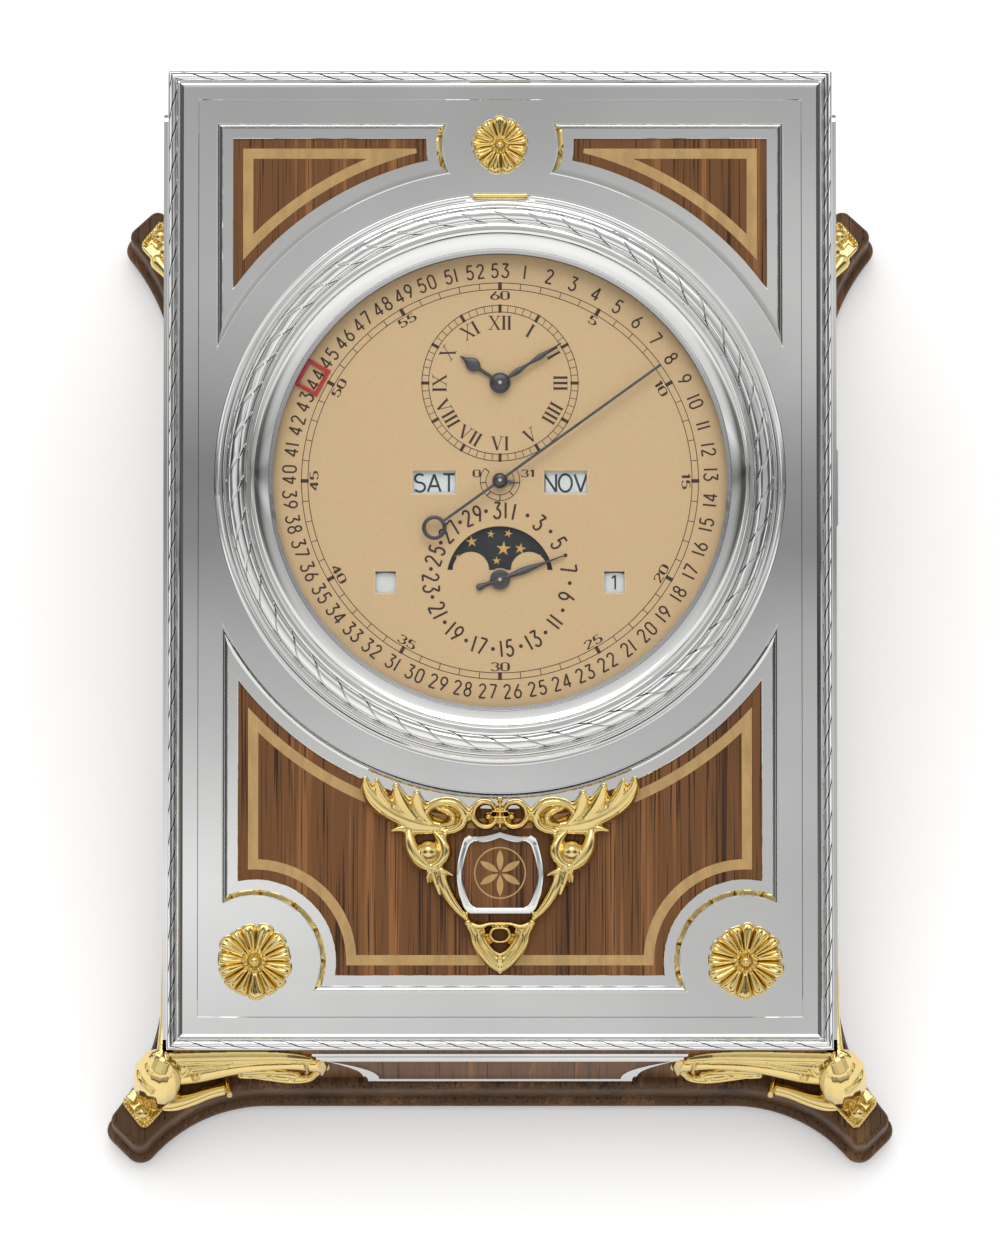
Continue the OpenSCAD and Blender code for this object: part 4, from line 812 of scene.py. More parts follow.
def makeRosette(name, spec):
    f = petalForm
    chance = random.Random(spec["seed"])
    petals = []
    for k in range(spec["petals"]):
        petals.append({
            "wide": 1 + chance.uniform(-f["wide"], f["wide"]), "lean": chance.uniform(-f["lean"], f["lean"]),
            "tall": 1 - chance.uniform(0, f["tall"]), "reach": 1 - chance.uniform(0, f["short"]),
        })
    total, place = sum(p["wide"] for p in petals), 0.0
    rings = []
    for petal in petals:
        for i in range(f["steps"]):
            cell = i / f["steps"] - 0.5
            a = 2 * math.pi * (place + (cell + 0.5) * petal["wide"]) / total
            reach = 1 + (petal["reach"] - 1) * math.cos(math.pi * cell)
            bulge = math.sqrt(max(0, 1 - (2 * cell) ** 2))
            edge = spec["r"] * reach * (1 - f["scallop"] + f["scallop"] * bulge)
            ring = []
            for j in range(f["outward"] + 1):
                q = j / f["outward"]
                if q < f["crestAt"]:
                    crest = math.sin(q / f["crestAt"] * math.pi / 2) ** f["crestPower"]
                else:
                    crest = math.sqrt(max(0, 1 - ((q - f["crestAt"]) / f["crestFall"]) ** 2))
                span = math.sin(math.pi * min(1, max(0, (q - f["spanFrom"]) / (1 - f["spanFrom"]))))
                height = crest * petal["tall"] * (1 - f["drop"] * abs(2 * cell) ** f["dropPower"])
                height += petal["lean"] * cell * span * f["tilt"]
                height -= f["fold"] * span * math.exp(-((cell - 0.25 * petal["lean"]) / f["foldWide"]) ** 2)
                rim = 1 if q < f["rimAt"] else f["rimUp"]
                z = f["foot"] + spec["up"] * (f["level"] + f["rise"] * height) * rim
                if q < f["heart"]:
                    lobe = 0.6 + 0.4 * math.cos(f["lobes"] * a + 1.1)
                    rise = 0.55 + 0.5 * lobe * math.sin(math.pi * max(0, (q - 0.12) / (f["heart"] - 0.12)))
                    if q < f["ball"]:
                        rise = max(rise, 0.6 + 0.65 * math.sqrt(1 - (q / f["ball"]) ** 2))
                    z = max(f["foot"] + spec["up"] * rise, z * (q / f["heart"]) ** 0.5)
                ring.append((edge * q * math.cos(a), edge * q * math.sin(a), z))
            ring += [(edge * math.cos(a), edge * math.sin(a), 0.02), (0, 0, 0.02)]
            rings.append(ring)
        place += petal["wide"]
    shape = Shape()
    shape.add(*loft(rings, around=True))
    spot = onFace @ Matrix.Translation((spec["x"], spec["y"], plate["fieldUp"]))
    makePiece(name, shape, gilt, spot, "case", [spec["node"]], 60)


makeFacePlate()
makeMarquetry()
makeRopeFrame()
makeBezel()
makeFlange()
for rosetteName, rosetteSpec in rosettes.items():
    makeRosette(rosetteName, rosetteSpec)
print("face plate, rope, bezel and rosettes made")


# Base board: the outline runs from each blunt foot into the straight edges along hollow curves
plinth = {
    "footX": 59.9, "footY": 79.7, "footBack": 2.8, "footR": 2.57, "width": 108, "depth": 145.6,
    "frontRun": 37, "sideRun": 52, "wellX": 46, "wellLow": -66, "wellHigh": 68, "ledge": 3, "ledgeZ": 2.6,
    "edge": [(0.8, 1.7), (0.86, 1.3), (1.1, 0.8), (1.5, 0.35), (2.0, 0.06), (2.5, 0.0), (3.0, 0.1),
             (3.3, 0.35), (3.5, 0.7), (3.62, 1.15), (3.75, 1.22), (3.9, 1.2), (4.0, 1.0), (4.15, 0.92),
             (7.9, 0.92), (8.3, 1.0), (8.65, 1.2), (8.88, 1.5), (9.0, 1.9)],
}


def footOutline(inset):
    p = plinth
    r = p["footR"]
    low = (p["footX"] - p["footBack"], -p["footY"])
    out = (p["footX"], -p["footY"] + p["footBack"])

    def runRadius(along, aside):
        return (along * along + aside * aside - r * r) / (2 * (aside + r))

    fr = runRadius(low[0] - p["frontRun"], -low[1] - p["depth"] / 2)
    sr = runRadius(-out[1] - p["sideRun"], out[0] - p["width"] / 2)
    fc = (p["frontRun"], -p["depth"] / 2 - fr)
    sc = (p["width"] / 2 + sr, -p["sideRun"])
    fa = math.degrees(math.atan2(low[1] - fc[1], low[0] - fc[0]))
    sa = math.degrees(math.atan2(out[1] - sc[1], out[0] - sc[0]))
    points = arcPoints(*fc, fr + inset, fr + inset, 90, fa, 18)
    points += arcPoints(*low, r - inset, r - inset, fa + 180, 315, 8)[1:]
    points += arcPoints(*out, r - inset, r - inset, 315, 540 + sa, 8)
    return points + arcPoints(*sc, sr + inset, sr + inset, 360 + sa, 180, 18)[1:]


def baseOutline(inset):
    foot = footOutline(inset)
    half = [(-x, y) for x, y in reversed(foot)] + foot
    return half + [(-x, -y) for x, y in half]


def makePlinth():
    p = plinth
    rings = [[(x, y, z) for x, y in baseOutline(inset)] for z, inset in p["edge"]]
    angles = [math.atan2(y, x) for x, y in baseOutline(0)]
    bottom, top = p["edge"][0][0], p["edge"][-1][0]
    for grow, z in ((0, top), (0, p["ledgeZ"]), (p["ledge"], p["ledgeZ"]), (p["ledge"], bottom)):
        ring = []
        for a in angles:
            c, s = math.cos(a), math.sin(a)
            high = p["wellHigh"] if s > 0 else -p["wellLow"]
            far = min((p["wellX"] + grow) / max(abs(c), 1e-9), (high + grow) / max(abs(s), 1e-9))
            ring.append((far * c, far * s, z))
        rings.append(ring)
    shape = Shape()
    shape.add(*loft(rings, around=True))
    makePiece("baseBoard", shape, walnutAlong, inMm, "case", ["base_plinth"], 40)


# Cast gilt work: leaves and scrolls are laid on each other, fused to one skin and softened
leafForm = {"base": -0.12, "lip": 0.02, "sides": 12, "round": 0.42, "creaseWide": 0.28, "spans": 5}


def frond(shape, points, crease=0.0, place=None):
    # each point gives x, y, width and height over the ground; both ends are rounded
    f = leafForm
    base = f["base"]
    path = smoothPath(points, f["spans"])
    rings = []
    for i, spot in enumerate(path):
        a, b = path[max(i - 1, 0)], path[min(i + 1, len(path) - 1)]
        along = Vector((b[0] - a[0], b[1] - a[1])).normalized()
        turns = (-80, -55, -28, 0) if i == 0 else (0, 28, 55, 80) if i == len(path) - 1 else (0,)
        for turn in turns:
            c, s = math.cos(math.radians(turn)), math.sin(math.radians(turn))
            width, height = spot[2] / 2 * c, spot[3] * math.sqrt(c)
            cx, cy = spot[0] + along.x * s * spot[2] / 2, spot[1] + along.y * s * spot[2] / 2
            ring = []
            for j in range(f["sides"] + 1):
                v = math.cos(math.pi * j / f["sides"])
                z = height * (1 - v * v) ** f["round"] * (1 - crease * math.exp(-(v / f["creaseWide"]) ** 2))
                ring.append((cx - along.y * v * width, cy + along.x * v * width, max(z, base + f["lip"])))
            ring.append((cx + along.y * width, cy - along.x * width, base))
            ring.append((cx - along.y * width, cy + along.x * width, base))
            rings.append(ring)
    verts, faces = loft(rings)
    shape.add([tuple(place @ Vector(v)) for v in verts] if place else verts, faces)


def limb(shape, points, sides=14):
    # a round-backed body along a path in space: x, y, z, width across, thickness
    path = smoothPath(points, leafForm["spans"])
    rings = []
    for i, spot in enumerate(path):
        a, b = path[max(i - 1, 0)], path[min(i + 1, len(path) - 1)]
        along = (Vector(b[:3]) - Vector(a[:3])).normalized()
        across = Vector((0, 0, 1)).cross(along)
        across = across.normalized() if across.length > 0.05 else Vector((0.7, 0.7, 0))
        up = along.cross(across)
        ring = []
        for j in range(sides):
            c, s = math.cos(2 * math.pi * j / sides), math.sin(2 * math.pi * j / sides)
            ring.append(tuple(Vector(spot[:3]) + across * spot[3] / 2 * c + up * spot[4] / 2 * s))
        rings.append(ring)
    shape.add(*loft(rings))


def ball(shape, x, y, z, r, high=None):
    rings = []
    for i in range(11):
        a = math.pi * (i + 0.15) / 10.3 - math.pi / 2
        ring = circle(x, y, r * math.cos(a), 24)
        rings.append([(px, py, z + (high or r) * math.sin(a)) for px, py in ring])
    shape.add(*loft(rings))


def castGilt(name, shape, voxel, soften, place, node):
    mesh = bpy.data.meshes.new(name + "Pattern")
    mesh.from_pydata(shape.verts, [], shape.faces)
    pattern = bpy.data.objects.new(name + "Pattern", mesh)
    scene.collection.objects.link(pattern)
    fuse = pattern.modifiers.new("fuse", "REMESH")
    fuse.mode = "VOXEL"
    fuse.voxel_size = voxel
    relax = pattern.modifiers.new("relax", "SMOOTH")
    relax.factor = 0.5
    relax.iterations = soften
    cast = bpy.data.meshes.new_from_object(pattern.evaluated_get(bpy.context.evaluated_depsgraph_get()))
    bpy.data.objects.remove(pattern)
    dressMesh(name, cast, gilt, place, "case", [node], 180)


# Acanthus mount round the shield; its right half, from the middle outwards (x, y, width, height)
acanthus = {
    "sheets": [
        [(9.0, 7.4, 2.2, 1.0), (12.6, 8.2, 3.4, 1.1), (16.4, 9.8, 3.8, 1.2), (19.2, 12.0, 2.4, 1.3)],
        [(7.4, 8.4, 2.2, 1.0), (7.4, 7.4, 2.0, 1.0), (9.0, 7.0, 1.4, 1.0)],
        [(3.6, -8.6, 2.4, 1.6), (2.9, -10.2, 2.6, 1.6), (2.0, -12.2, 2.6, 1.6), (0.4, -14.2, 2.0, 1.6)],
        [(10.6, 0.4, 2.4, 1.2), (10.0, -1.0, 2.4, 1.2), (9.4, -2.4, 1.2, 1.1)],
    ],
    "fingers": [
        [(9.0, 7.2, 1.5, 1.5), (12.8, 7.9, 2.3, 1.8), (16.2, 9.2, 2.8, 2.0), (19.0, 11.2, 3.0, 2.2),
         (20.7, 13.2, 2.1, 2.4), (21.1, 14.7, 0.9, 2.6)],
        [(17.2, 10.4, 1.7, 2.1), (18.7, 12.4, 1.8, 2.4), (19.3, 14.4, 0.8, 2.7)],
        [(13.4, 8.6, 1.4, 1.9), (14.9, 10.2, 2.5, 2.3), (15.8, 11.9, 2.3, 2.7), (16.2, 13.5, 1.1, 3.1)],
        [(11.0, 8.0, 1.3, 1.8), (12.2, 9.4, 2.2, 2.3), (12.9, 11.0, 2.3, 2.8), (13.0, 12.4, 1.1, 3.2)],
        [(9.6, 7.0, 1.3, 1.5), (13.2, 7.5, 1.9, 1.7), (16.4, 8.6, 1.6, 1.8), (18.4, 9.3, 0.6, 1.8)],
        [(9.2, 6.7, 1.2, 1.4), (12.8, 6.7, 1.6, 1.6), (15.4, 6.9, 1.2, 1.6), (16.9, 6.6, 0.5, 1.5)],
    ],
    "scrolls": [
        [(11.7, 8.8, 1.2, 1.9), (11.1, 10.2, 1.6, 2.2), (9.3, 11.0, 1.9, 2.5), (7.1, 10.8, 2.1, 2.6),
         (5.7, 9.4, 2.1, 2.5), (5.9, 7.7, 2.0, 2.2), (7.3, 6.7, 1.8, 1.9), (9.2, 6.5, 1.3, 1.6)],
        [(9.7, 10.0, 0.8, 2.0), (8.3, 9.7, 1.4, 2.3), (7.3, 8.7, 1.5, 2.3), (7.9, 7.7, 1.3, 2.0),
         (9.0, 7.5, 1.0, 1.7)],
        [(0.7, 10.0, 0.8, 1.9), (1.5, 10.9, 1.1, 2.2), (2.9, 11.0, 1.3, 2.5), (4.0, 10.1, 1.4, 2.5),
         (4.2, 8.7, 1.4, 2.4), (3.4, 7.6, 1.4, 2.3), (2.0, 7.2, 1.3, 2.2), (0.9, 7.8, 1.1, 2.1),
         (0.6, 8.8, 0.8, 1.9)],
        [(4.0, 8.6, 1.2, 1.8), (5.8, 8.3, 1.4, 1.9)],
        [(14.3, 6.6, 1.7, 1.6), (14.1, 5.2, 2.3, 2.0), (13.6, 3.6, 2.7, 2.3), (12.6, 2.0, 2.8, 2.4),
         (11.5, 1.1, 2.2, 2.3), (10.0, 0.7, 1.8, 2.1)],
        [(10.1, 6.2, 1.3, 1.7), (9.3, 5.3, 1.9, 2.0), (8.7, 4.1, 2.4, 2.3), (8.8, 2.7, 2.5, 2.4),
         (9.7, 1.5, 2.2, 2.3), (11.0, 1.0, 1.8, 2.1)],
        [(11.0, 0.4, 1.3, 1.9), (11.3, -0.6, 0.9, 1.8), (11.3, -1.5, 0.5, 1.5)],
        [(10.4, 0.3, 1.6, 2.0), (10.1, -1.2, 1.4, 1.9), (9.5, -3.3, 0.6, 1.5)],
        [(9.2, 0.4, 1.5, 2.0), (8.2, 0.0, 1.2, 1.9), (7.4, -0.4, 0.7, 1.7)],
        [(9.2, -0.2, 1.9, 1.9), (8.7, -2.2, 2.3, 2.2), (7.7, -4.2, 2.1, 2.1), (6.5, -5.8, 1.7, 1.9),
         (5.4, -6.9, 1.3, 1.7)],
        [(4.8, -7.9, 1.4, 1.9), (3.3, -8.4, 1.2, 2.1), (1.7, -8.0, 1.0, 2.1), (0.0, -7.9, 0.9, 2.2)],
        [(4.9, -8.1, 1.5, 1.8), (4.2, -9.4, 1.6, 2.0), (3.9, -10.9, 1.6, 2.0), (3.0, -12.4, 1.5, 2.0),
         (1.6, -14.0, 1.5, 1.8), (0.2, -15.0, 1.2, 1.6)],
        [(0.0, -8.6, 0.6, 2.1), (1.1, -8.8, 0.8, 2.3), (1.5, -9.7, 0.9, 2.3), (0.9, -10.6, 0.8, 2.2),
         (0.0, -10.8, 0.7, 2.1)],
        [(2.5, -9.1, 0.8, 2.0), (2.5, -10.3, 0.8, 2.1), (1.7, -11.5, 0.8, 2.1), (0.9, -12.3, 0.8, 2.0),
         (0.0, -12.8, 0.9, 2.0)],
    ],
    "balls": [(11.2, 3.2, 2.1, 2.7), (1.8, 8.8, 0.8, 2.5), (5.2, -6.3, 0.6, 2.0), (5.0, -7.8, 0.95, 2.3),
              (4.9, 9.2, 0.8, 2.4), (8.6, 6.0, 0.8, 2.0)],
    "middle": [[(-1.2, 9.6, 0.5, 2.3), (1.2, 9.6, 0.5, 2.3)],
               [(-1.0, 8.7, 0.45, 2.1), (1.0, 8.7, 0.45, 2.1)],
               [(0.0, 7.2, 0.9, 1.8), (0.0, 10.6, 0.8, 2.1)],
               [(0.0, -13.4, 1.4, 1.9), (0.0, -15.3, 1.0, 1.6)]],
    "bead": (0, 11.4, 0.6, 2.3), "voxel": 0.11, "soften": 3, "fold": 0.07, "full": 1.16,
}


def makeAcanthus():
    shape = Shape()
    a = acanthus
    for side in (1, -1):
        flip = Matrix.Scale(side, 4, (1, 0, 0))
        for points in a["fingers"]:
            frond(shape, [(x, y, w * a["full"], h) for x, y, w, h in points], a["fold"], flip)
        for points in a["sheets"] + a["scrolls"]:
            frond(shape, points, 0.0, flip)
        for x, y, r, high in a["balls"]:
            ball(shape, side * x, y, 0, r, high)
    for points in a["middle"]:
        frond(shape, points)
    x, y, r, high = a["bead"]
    ball(shape, x, y, 0, r, high)
    castGilt("acanthusLeaves", shape, a["voxel"], a["soften"], onShield, "acanthus_mount")


# Shield: a bevelled silver rim with a walnut field; a plain six-petal daisy is inlaid in it
shield = {
    "y": -49.2, "low": -6.4, "high": 12.3, "foot": 5.15, "swell": 1.45, "spread": 0.4, "dip": 0.3,
    "peak": 0.5,
    "rim": [(0, 0.02), (0, 1.7), (0.06, 1.82), (0.3, 2.0), (0.72, 2.05), (0.9, 1.95), (1.02, 1.6),
            (1.04, 1.2)],
    "fieldUp": 1.35, "petals": 6, "petalLong": 3.6, "petalWide": 1.05, "ringLine": 0.22, "inlayUp": 0.02,
    "roundLow": 0.5, "roundHigh": 0.7, "tight": 14, "fieldIn": 1.0, "ground": 0.02,
}
onShield = onFace @ Matrix.Translation((0, shield["y"], panels["level"] - 0.04))


def shieldOutline(inset):
    s = shield
    half = []
    for i in range(25):
        t = i / 24
        x = s["foot"] + s["swell"] * math.sin(math.pi * t ** 0.9) + s["spread"] * t
        rounding = s["roundLow"] * max(0, 1 - t * s["tight"]) ** 2
        rounding += s["roundHigh"] * max(0, 1 - (1 - t) * s["tight"]) ** 2
        half.append((x - inset - rounding, s["low"] + s["high"] * t + inset * (1 - 2 * t)))
    cornerX, cornerY = half[-1]
    for i in range(1, 11):
        t = i / 10
        half.append((cornerX * (1 - t),
                     cornerY - s["dip"] * math.sin(math.pi * t ** 0.8) + s["peak"] * t ** 1.6))
    return half + [(-x, y) for x, y in reversed(half[:-1])]


def makeShield():
    s = shield
    rim = Shape()
    rim.add(*framed(shieldOutline, s["rim"] + [(s["rim"][-1][0], s["ground"])]))
    makePiece("shieldRim", rim, silver, onShield, "case", ["shield_frame"], 25)
    field = Shape()
    field.add(*slab(shieldOutline(s["fieldIn"]), s["ground"], s["fieldUp"]))
    makePiece("shieldField", field, walnutSlope, onShield, "case", ["shield_inlay"], 25)
    daisy = Shape()
    low, high = s["fieldUp"] - 0.05, s["fieldUp"] + s["inlayUp"]
    for k in range(s["petals"]):
        petal = []
        for i in range(21):
            t = i / 20
            petal.append((s["petalWide"] / 2 * math.sin(math.pi * t) ** 0.8,
                          0.35 + (s["petalLong"] - 0.35) * t))
        petal += [(-x, y) for x, y in reversed(petal[1:-1])]
        daisy.add(*slab(turned(petal, 360 * k / s["petals"]), low, high))
    ringLine(daisy, s["petalLong"] + 0.35, s["ringLine"], low, high)
    makePiece("shieldDaisy", daisy, maple, onShield, "case")


# Corner mounts, drawn for the front right corner: shoe, volute, an arm along each wall and one on the board
mounts = {
    "voxel": 0.15, "soften": 2, "frontWall": -70.2, "rearWall": 73.9, "sideWall": 53.0, "boardUp": 9.0,
    "shoe": [(59.9, -74.5), (56.3, -79.3), (53.0, -75.5), (56.6, -70.7)], "shoeUp": 0.55, "rimUp": 0.95,
    "rimR": 0.42, "rimZ": 0.6, "rimIn": 0.9, "bead": 0.28, "beads": 9, "beadsIn": 0.93,
    "dome": (56.5, -76.3, 1.35, 1.25), "block": [(58.0, -74.9), (58.9, -74.1), (57.4, -72.2), (56.5, -73.0)],
    "blockUp": 1.15,
    "rod": [(52.9, -72.0, 9.0, 4.8, 4.8), (52.9, -72.0, 20.4, 4.8, 4.8), (52.8, -71.8, 21.8, 3.6, 3.6)],
    "knee": [(55.4, -74.3, 10.2, 3.4, 2.0), (55.2, -74.1, 11.4, 5.6, 3.8), (54.7, -73.4, 13.2, 7.2, 5.6),
             (54.1, -72.7, 15.4, 8.0, 6.8), (53.7, -72.3, 17.6, 7.8, 6.8), (53.3, -71.9, 19.8, 6.6, 5.8),
             (53.0, -71.6, 21.4, 4.4, 3.8)],
    "rolls": [[(56.7, -70.9, 18.4, 1.0, 1.0), (56.4, -73.7, 19.0, 1.4, 1.4), (54.3, -75.7, 18.4, 1.1, 1.1)],
              [(55.6, -70.6, 20.0, 0.9, 0.9), (55.1, -72.9, 20.7, 1.2, 1.2), (53.3, -74.4, 20.0, 0.9, 0.9)]],
    "slim": 0.72, "inward": 1.6, "sink": 0.85, "rodSlim": 0.7,
    "frontArm": [
        [(52.0, 12.6, 4.6, 2.5), (48.5, 13.6, 4.6, 2.4), (44.5, 15.5, 4.2, 2.1), (40.8, 17.2, 3.8, 1.9),
         (37.0, 18.4, 3.4, 1.8), (33.5, 18.7, 3.2, 1.7), (30.8, 17.6, 3.4, 1.5), (28.6, 16.2, 4.0, 1.3)],
        [(52.0, 17.4, 5.8, 1.5), (46.0, 18.6, 5.4, 1.4), (41.0, 19.8, 4.2, 1.3), (36.5, 20.5, 2.8, 1.2),
         (32.5, 20.3, 1.8, 1.1)],
        [(51.5, 21.0, 1.6, 1.6), (45.5, 21.4, 1.6, 1.6), (39.0, 21.7, 1.5, 1.5), (33.5, 21.4, 1.2, 1.3),
         (29.8, 20.0, 1.2, 1.2)],
        [(51.0, 18.8, 0.8, 2.0), (46.5, 19.7, 0.8, 1.9), (42.0, 20.5, 0.5, 1.6)],
        [(51.0, 16.8, 0.8, 2.3), (46.8, 17.8, 0.8, 2.1), (42.5, 18.9, 0.5, 1.8)],
        [(28.2, 19.4, 1.6, 1.3), (27.9, 17.0, 1.8, 1.4), (28.1, 13.9, 1.4, 1.3)],
        [(30.6, 19.6, 0.8, 1.9), (30.3, 17.0, 0.8, 1.9), (30.6, 14.8, 0.6, 1.6)],
    ],
    "frontLeaf": [
        [(40.6, 12.9, 1.0, 1.1), (38.6, 13.7, 1.4, 1.3), (36.4, 14.4, 1.4, 1.4), (34.4, 13.8, 1.4, 1.4),
         (32.4, 12.2, 1.4, 1.3)],
        [(39.8, 11.9, 1.0, 1.0), (36.6, 11.3, 1.5, 1.3), (33.0, 10.3, 1.7, 1.4), (30.2, 10.8, 1.4, 1.3),
         (29.0, 13.4, 1.4, 1.2)],
        [(36.8, 11.5, 1.0, 1.2), (35.4, 13.2, 1.1, 1.2)], [(33.4, 10.6, 1.0, 1.2), (32.0, 12.4, 1.1, 1.2)],
        [(41.0, 11.6, 1.4, 1.0), (39.4, 12.0, 1.6, 1.2)],
    ],
    "frontBalls": [(50.0, 18.2, 1.6, 3.0), (48.0, 15.6, 1.1, 2.9)],
    "boardArm": [
        [(55.2, -73.9, 3.8, 1.5), (52.4, -74.4, 3.2, 1.5), (49.4, -73.9, 2.5, 1.4), (46.0, -72.7, 2.1, 1.4),
         (43.4, -72.0, 2.1, 1.4)],
        [(43.4, -70.9, 1.3, 1.9), (42.9, -73.0, 1.3, 1.9)],
    ],
    "flankArm": [[(56.8, -71.8, 2.8, 1.4), (54.9, -69.0, 1.9, 1.3), (53.7, -65.6, 1.4, 1.1)]],
    "sideArm": [
        [(-70.8, 12.6, 4.4, 1.5), (-67.5, 13.4, 4.8, 0.8), (-63.5, 15.0, 4.4, 0.5), (-59.8, 16.8, 3.8, 0.45),
         (-56.0, 18.2, 3.0, 0.45), (-52.0, 18.6, 2.6, 0.45), (-48.8, 17.6, 2.8, 0.45),
         (-46.8, 16.2, 3.0, 0.45)],
        [(-70.5, 17.0, 5.0, 1.1), (-65.0, 18.0, 5.0, 0.4), (-60.0, 19.2, 3.8, 0.35),
         (-55.0, 19.9, 2.6, 0.35)],
        [(-70.5, 20.6, 1.5, 1.0), (-64.5, 20.9, 1.5, 0.5), (-58.0, 21.0, 1.4, 0.45),
         (-51.5, 20.2, 1.2, 0.45), (-48.4, 19.0, 1.1, 0.45)],
        [(-46.9, 18.0, 1.4, 0.5), (-46.5, 15.9, 1.6, 0.5), (-46.7, 13.8, 1.3, 0.5)],
        [(-66.5, 16.4, 0.8, 0.8), (-62.5, 18.0, 0.8, 0.6), (-57.0, 19.4, 0.5, 0.55)],
    ],
}


def fromShoeMiddle(spot, grow):
    corners = mounts["shoe"]
    cx, cy = sum(x for x, y in corners) / 4, sum(y for x, y in corners) / 4
    return (spot.x - cx) * grow + cx, (spot.y - cy) * grow + cy


def shoeOutline(grow):
    m = mounts["shoe"]
    corners = []
    for i in range(4):
        here, before, after = Vector(m[i]), Vector(m[i - 1]), Vector(m[(i + 1) % 4])
        for j in range(5):  # each corner is drawn as a short curve
            t = j / 4
            a, b = here.lerp(before, 0.22), here.lerp(after, 0.22)
            spot = a.lerp(here, t).lerp(here.lerp(b, t), t)
            corners.append(fromShoeMiddle(spot, grow))
    return corners


def addShoe(shape, up):
    # a thin plate with a beaded rim, a small block and a domed screw head
    m = mounts
    shape.add(*slab(shoeOutline(1.0), up - 0.1, up + m["shoeUp"]))
    line = shoeOutline(m["rimIn"])
    for i in range(len(line)):
        limb(shape,
             [(*spot, up + m["rimZ"], 2 * m["rimR"], 2 * m["rimR"]) for spot in (line[i - 1], line[i])], 8)
    for i in range(4):
        for j in range(1, m["beads"]):
            spot = Vector(m["shoe"][i - 1]).lerp(Vector(m["shoe"][i]), j / m["beads"])
            ball(shape, *fromShoeMiddle(spot, m["beadsIn"]), up + m["rimUp"], m["bead"])
    shape.add(*slab(m["block"], up, up + m["blockUp"]))
    x, y, r, high = m["dome"]
    ball(shape, x, y, up + 0.4, r, high)


def makeMount(name, node, flipX, flipY):
    m = mounts
    shape = Shape()
    up = m["boardUp"]
    back, slim, inward, sink, rod = 0, 1, 0, 1, 1
    if flipY:
        # the rear wall stands further out than the front wall, and the rear volutes are slighter
        back = m["rearWall"] + m["frontWall"]
        slim, inward, sink, rod = m["slim"], m["inward"], m["sink"], m["rodSlim"]
    addShoe(shape, up)
    last = len(m["knee"]) - 1
    knee = []
    for i, (x, y, z, w, t) in enumerate(m["knee"]):
        depth = y - back * i / last + inward * (1 - i / last)
        knee.append((x - inward, depth, up + (z - up) * sink, w * slim, t * slim))
    limb(shape, knee)
    limb(shape, [(x, y - back, up + (z - up) * sink, w * rod, t * rod) for x, y, z, w, t in m["rod"]])
    for points in m["rolls"]:
        limb(shape, [(x - inward, y - back + inward * 0.5, up + (z - up) * sink, w * slim, t * slim)
                     for x, y, z, w, t in points])
    front = Matrix(((1, 0, 0, 0), (0, 0, -1, m["frontWall"] - back), (0, 1, 0, 0), (0, 0, 0, 1)))
    side = Matrix(((0, 0, 1, m["sideWall"]), (1, 0, 0, -back), (0, 1, 0, 0), (0, 0, 0, 1)))
    board = Matrix.Translation((0, 0, up))
    for points in m["frontArm"] + m["frontLeaf"]:
        frond(shape, points, 0.0, front)
    for points in m["sideArm"]:
        frond(shape, points, 0.0, side)
    for points in m["boardArm"] + m["flankArm"]:
        frond(shape, points, 0.0, board)
    for x, z, r, high in m["frontBalls"]:
        knob = Shape()
        ball(knob, x, z, 0, r, high)
        shape.add([tuple(front @ Vector(v)) for v in knob.verts], knob.faces)
    mirror = Matrix.Scale(-1 if flipX else 1, 4, (1, 0, 0)) @ Matrix.Scale(-1 if flipY else 1, 4, (0, 1, 0))
    castGilt(name, shape, m["voxel"], m["soften"], inMm @ mirror, node)


makePlinth()
makeAcanthus()
makeShield()
makeMount("frontRightMount", "front_right_mount", False, False)
makeMount("frontLeftMount", "front_left_mount", True, False)
makeMount("rearRightMount", "rear_right_mount", False, True)
makeMount("rearLeftMount", "rear_left_mount", True, True)
print("base board, acanthus, shield and corner mounts made")


# Windows in the dial: a narrow pale bevel round each opening
windows = {
    "long": {"x": 10.3, "y": -0.2, "w": 7.1, "h": 3.9, "edge": 0.24},
    "small": {"x": 17.95, "y": -15.9, "w": 3.5, "h": 3.7, "edge": 0.2},
}


def makeWindowEdges():
    shape = Shape()
    top = dial["top"]
    for spec in windows.values():
        for side in (1, -1):
            x, y, w, h, edge = side * spec["x"], spec["y"], spec["w"] / 2, spec["h"] / 2, spec["edge"]
            left, right, low, high = x - w, x + w, y - h, y + h
            section = [(-0.02, top - 0.5), (-0.02, top + 0.012), (0.04, top + 0.012), (edge, top - 0.3),
                       (edge, top - 0.5)]
            shape.add(*framed(lambda t: [(left + t, low + t), (right - t, low + t), (right - t, high - t),
                                         (left + t, high - t)], section))
    makePiece("windowEdges", shape, windowEdge, onDial, "case", sharp=20)


# Printed discs: day and month names, the leap year's numbers, a dark half for the night, stars and moons
discs = {
    "top": -2.15, "ink": 0.02, "nameH": 2.75, "nameR": 10.55, "nameX": 20.85, "nameUp": -0.27,
    "leapX": 17.95, "leapY": -21, "leapR": 5.1, "leapH": 2.2, "nightR": 6.4, "moonR": 2.7, "moonX": 4.57,
    "moonY": 1.5, "days": ["SAT", "SUN", "MON", "TUE", "WED", "THU", "FRI"],
    "months": ["NOV", "DEC", "JAN", "FEB", "MAR", "APR", "MAY", "JUN", "JUL", "AUG", "SEP", "OCT"],
    "stars": [(0.55, 4.9, 1.2, 4), (3.2, 4.9, 0.95, 12), (-4.45, 6.0, 0.95, -6), (-1.45, 7.2, 0.68, 8),
              (1.3, 7.3, 0.72, 20), (-0.55, 3.0, 0.72, 0), (2.1, 2.6, 0.4, 30), (-6.6, 3.6, 0.5, 10),
              (6.2, 3.6, 0.5, 25)],
}


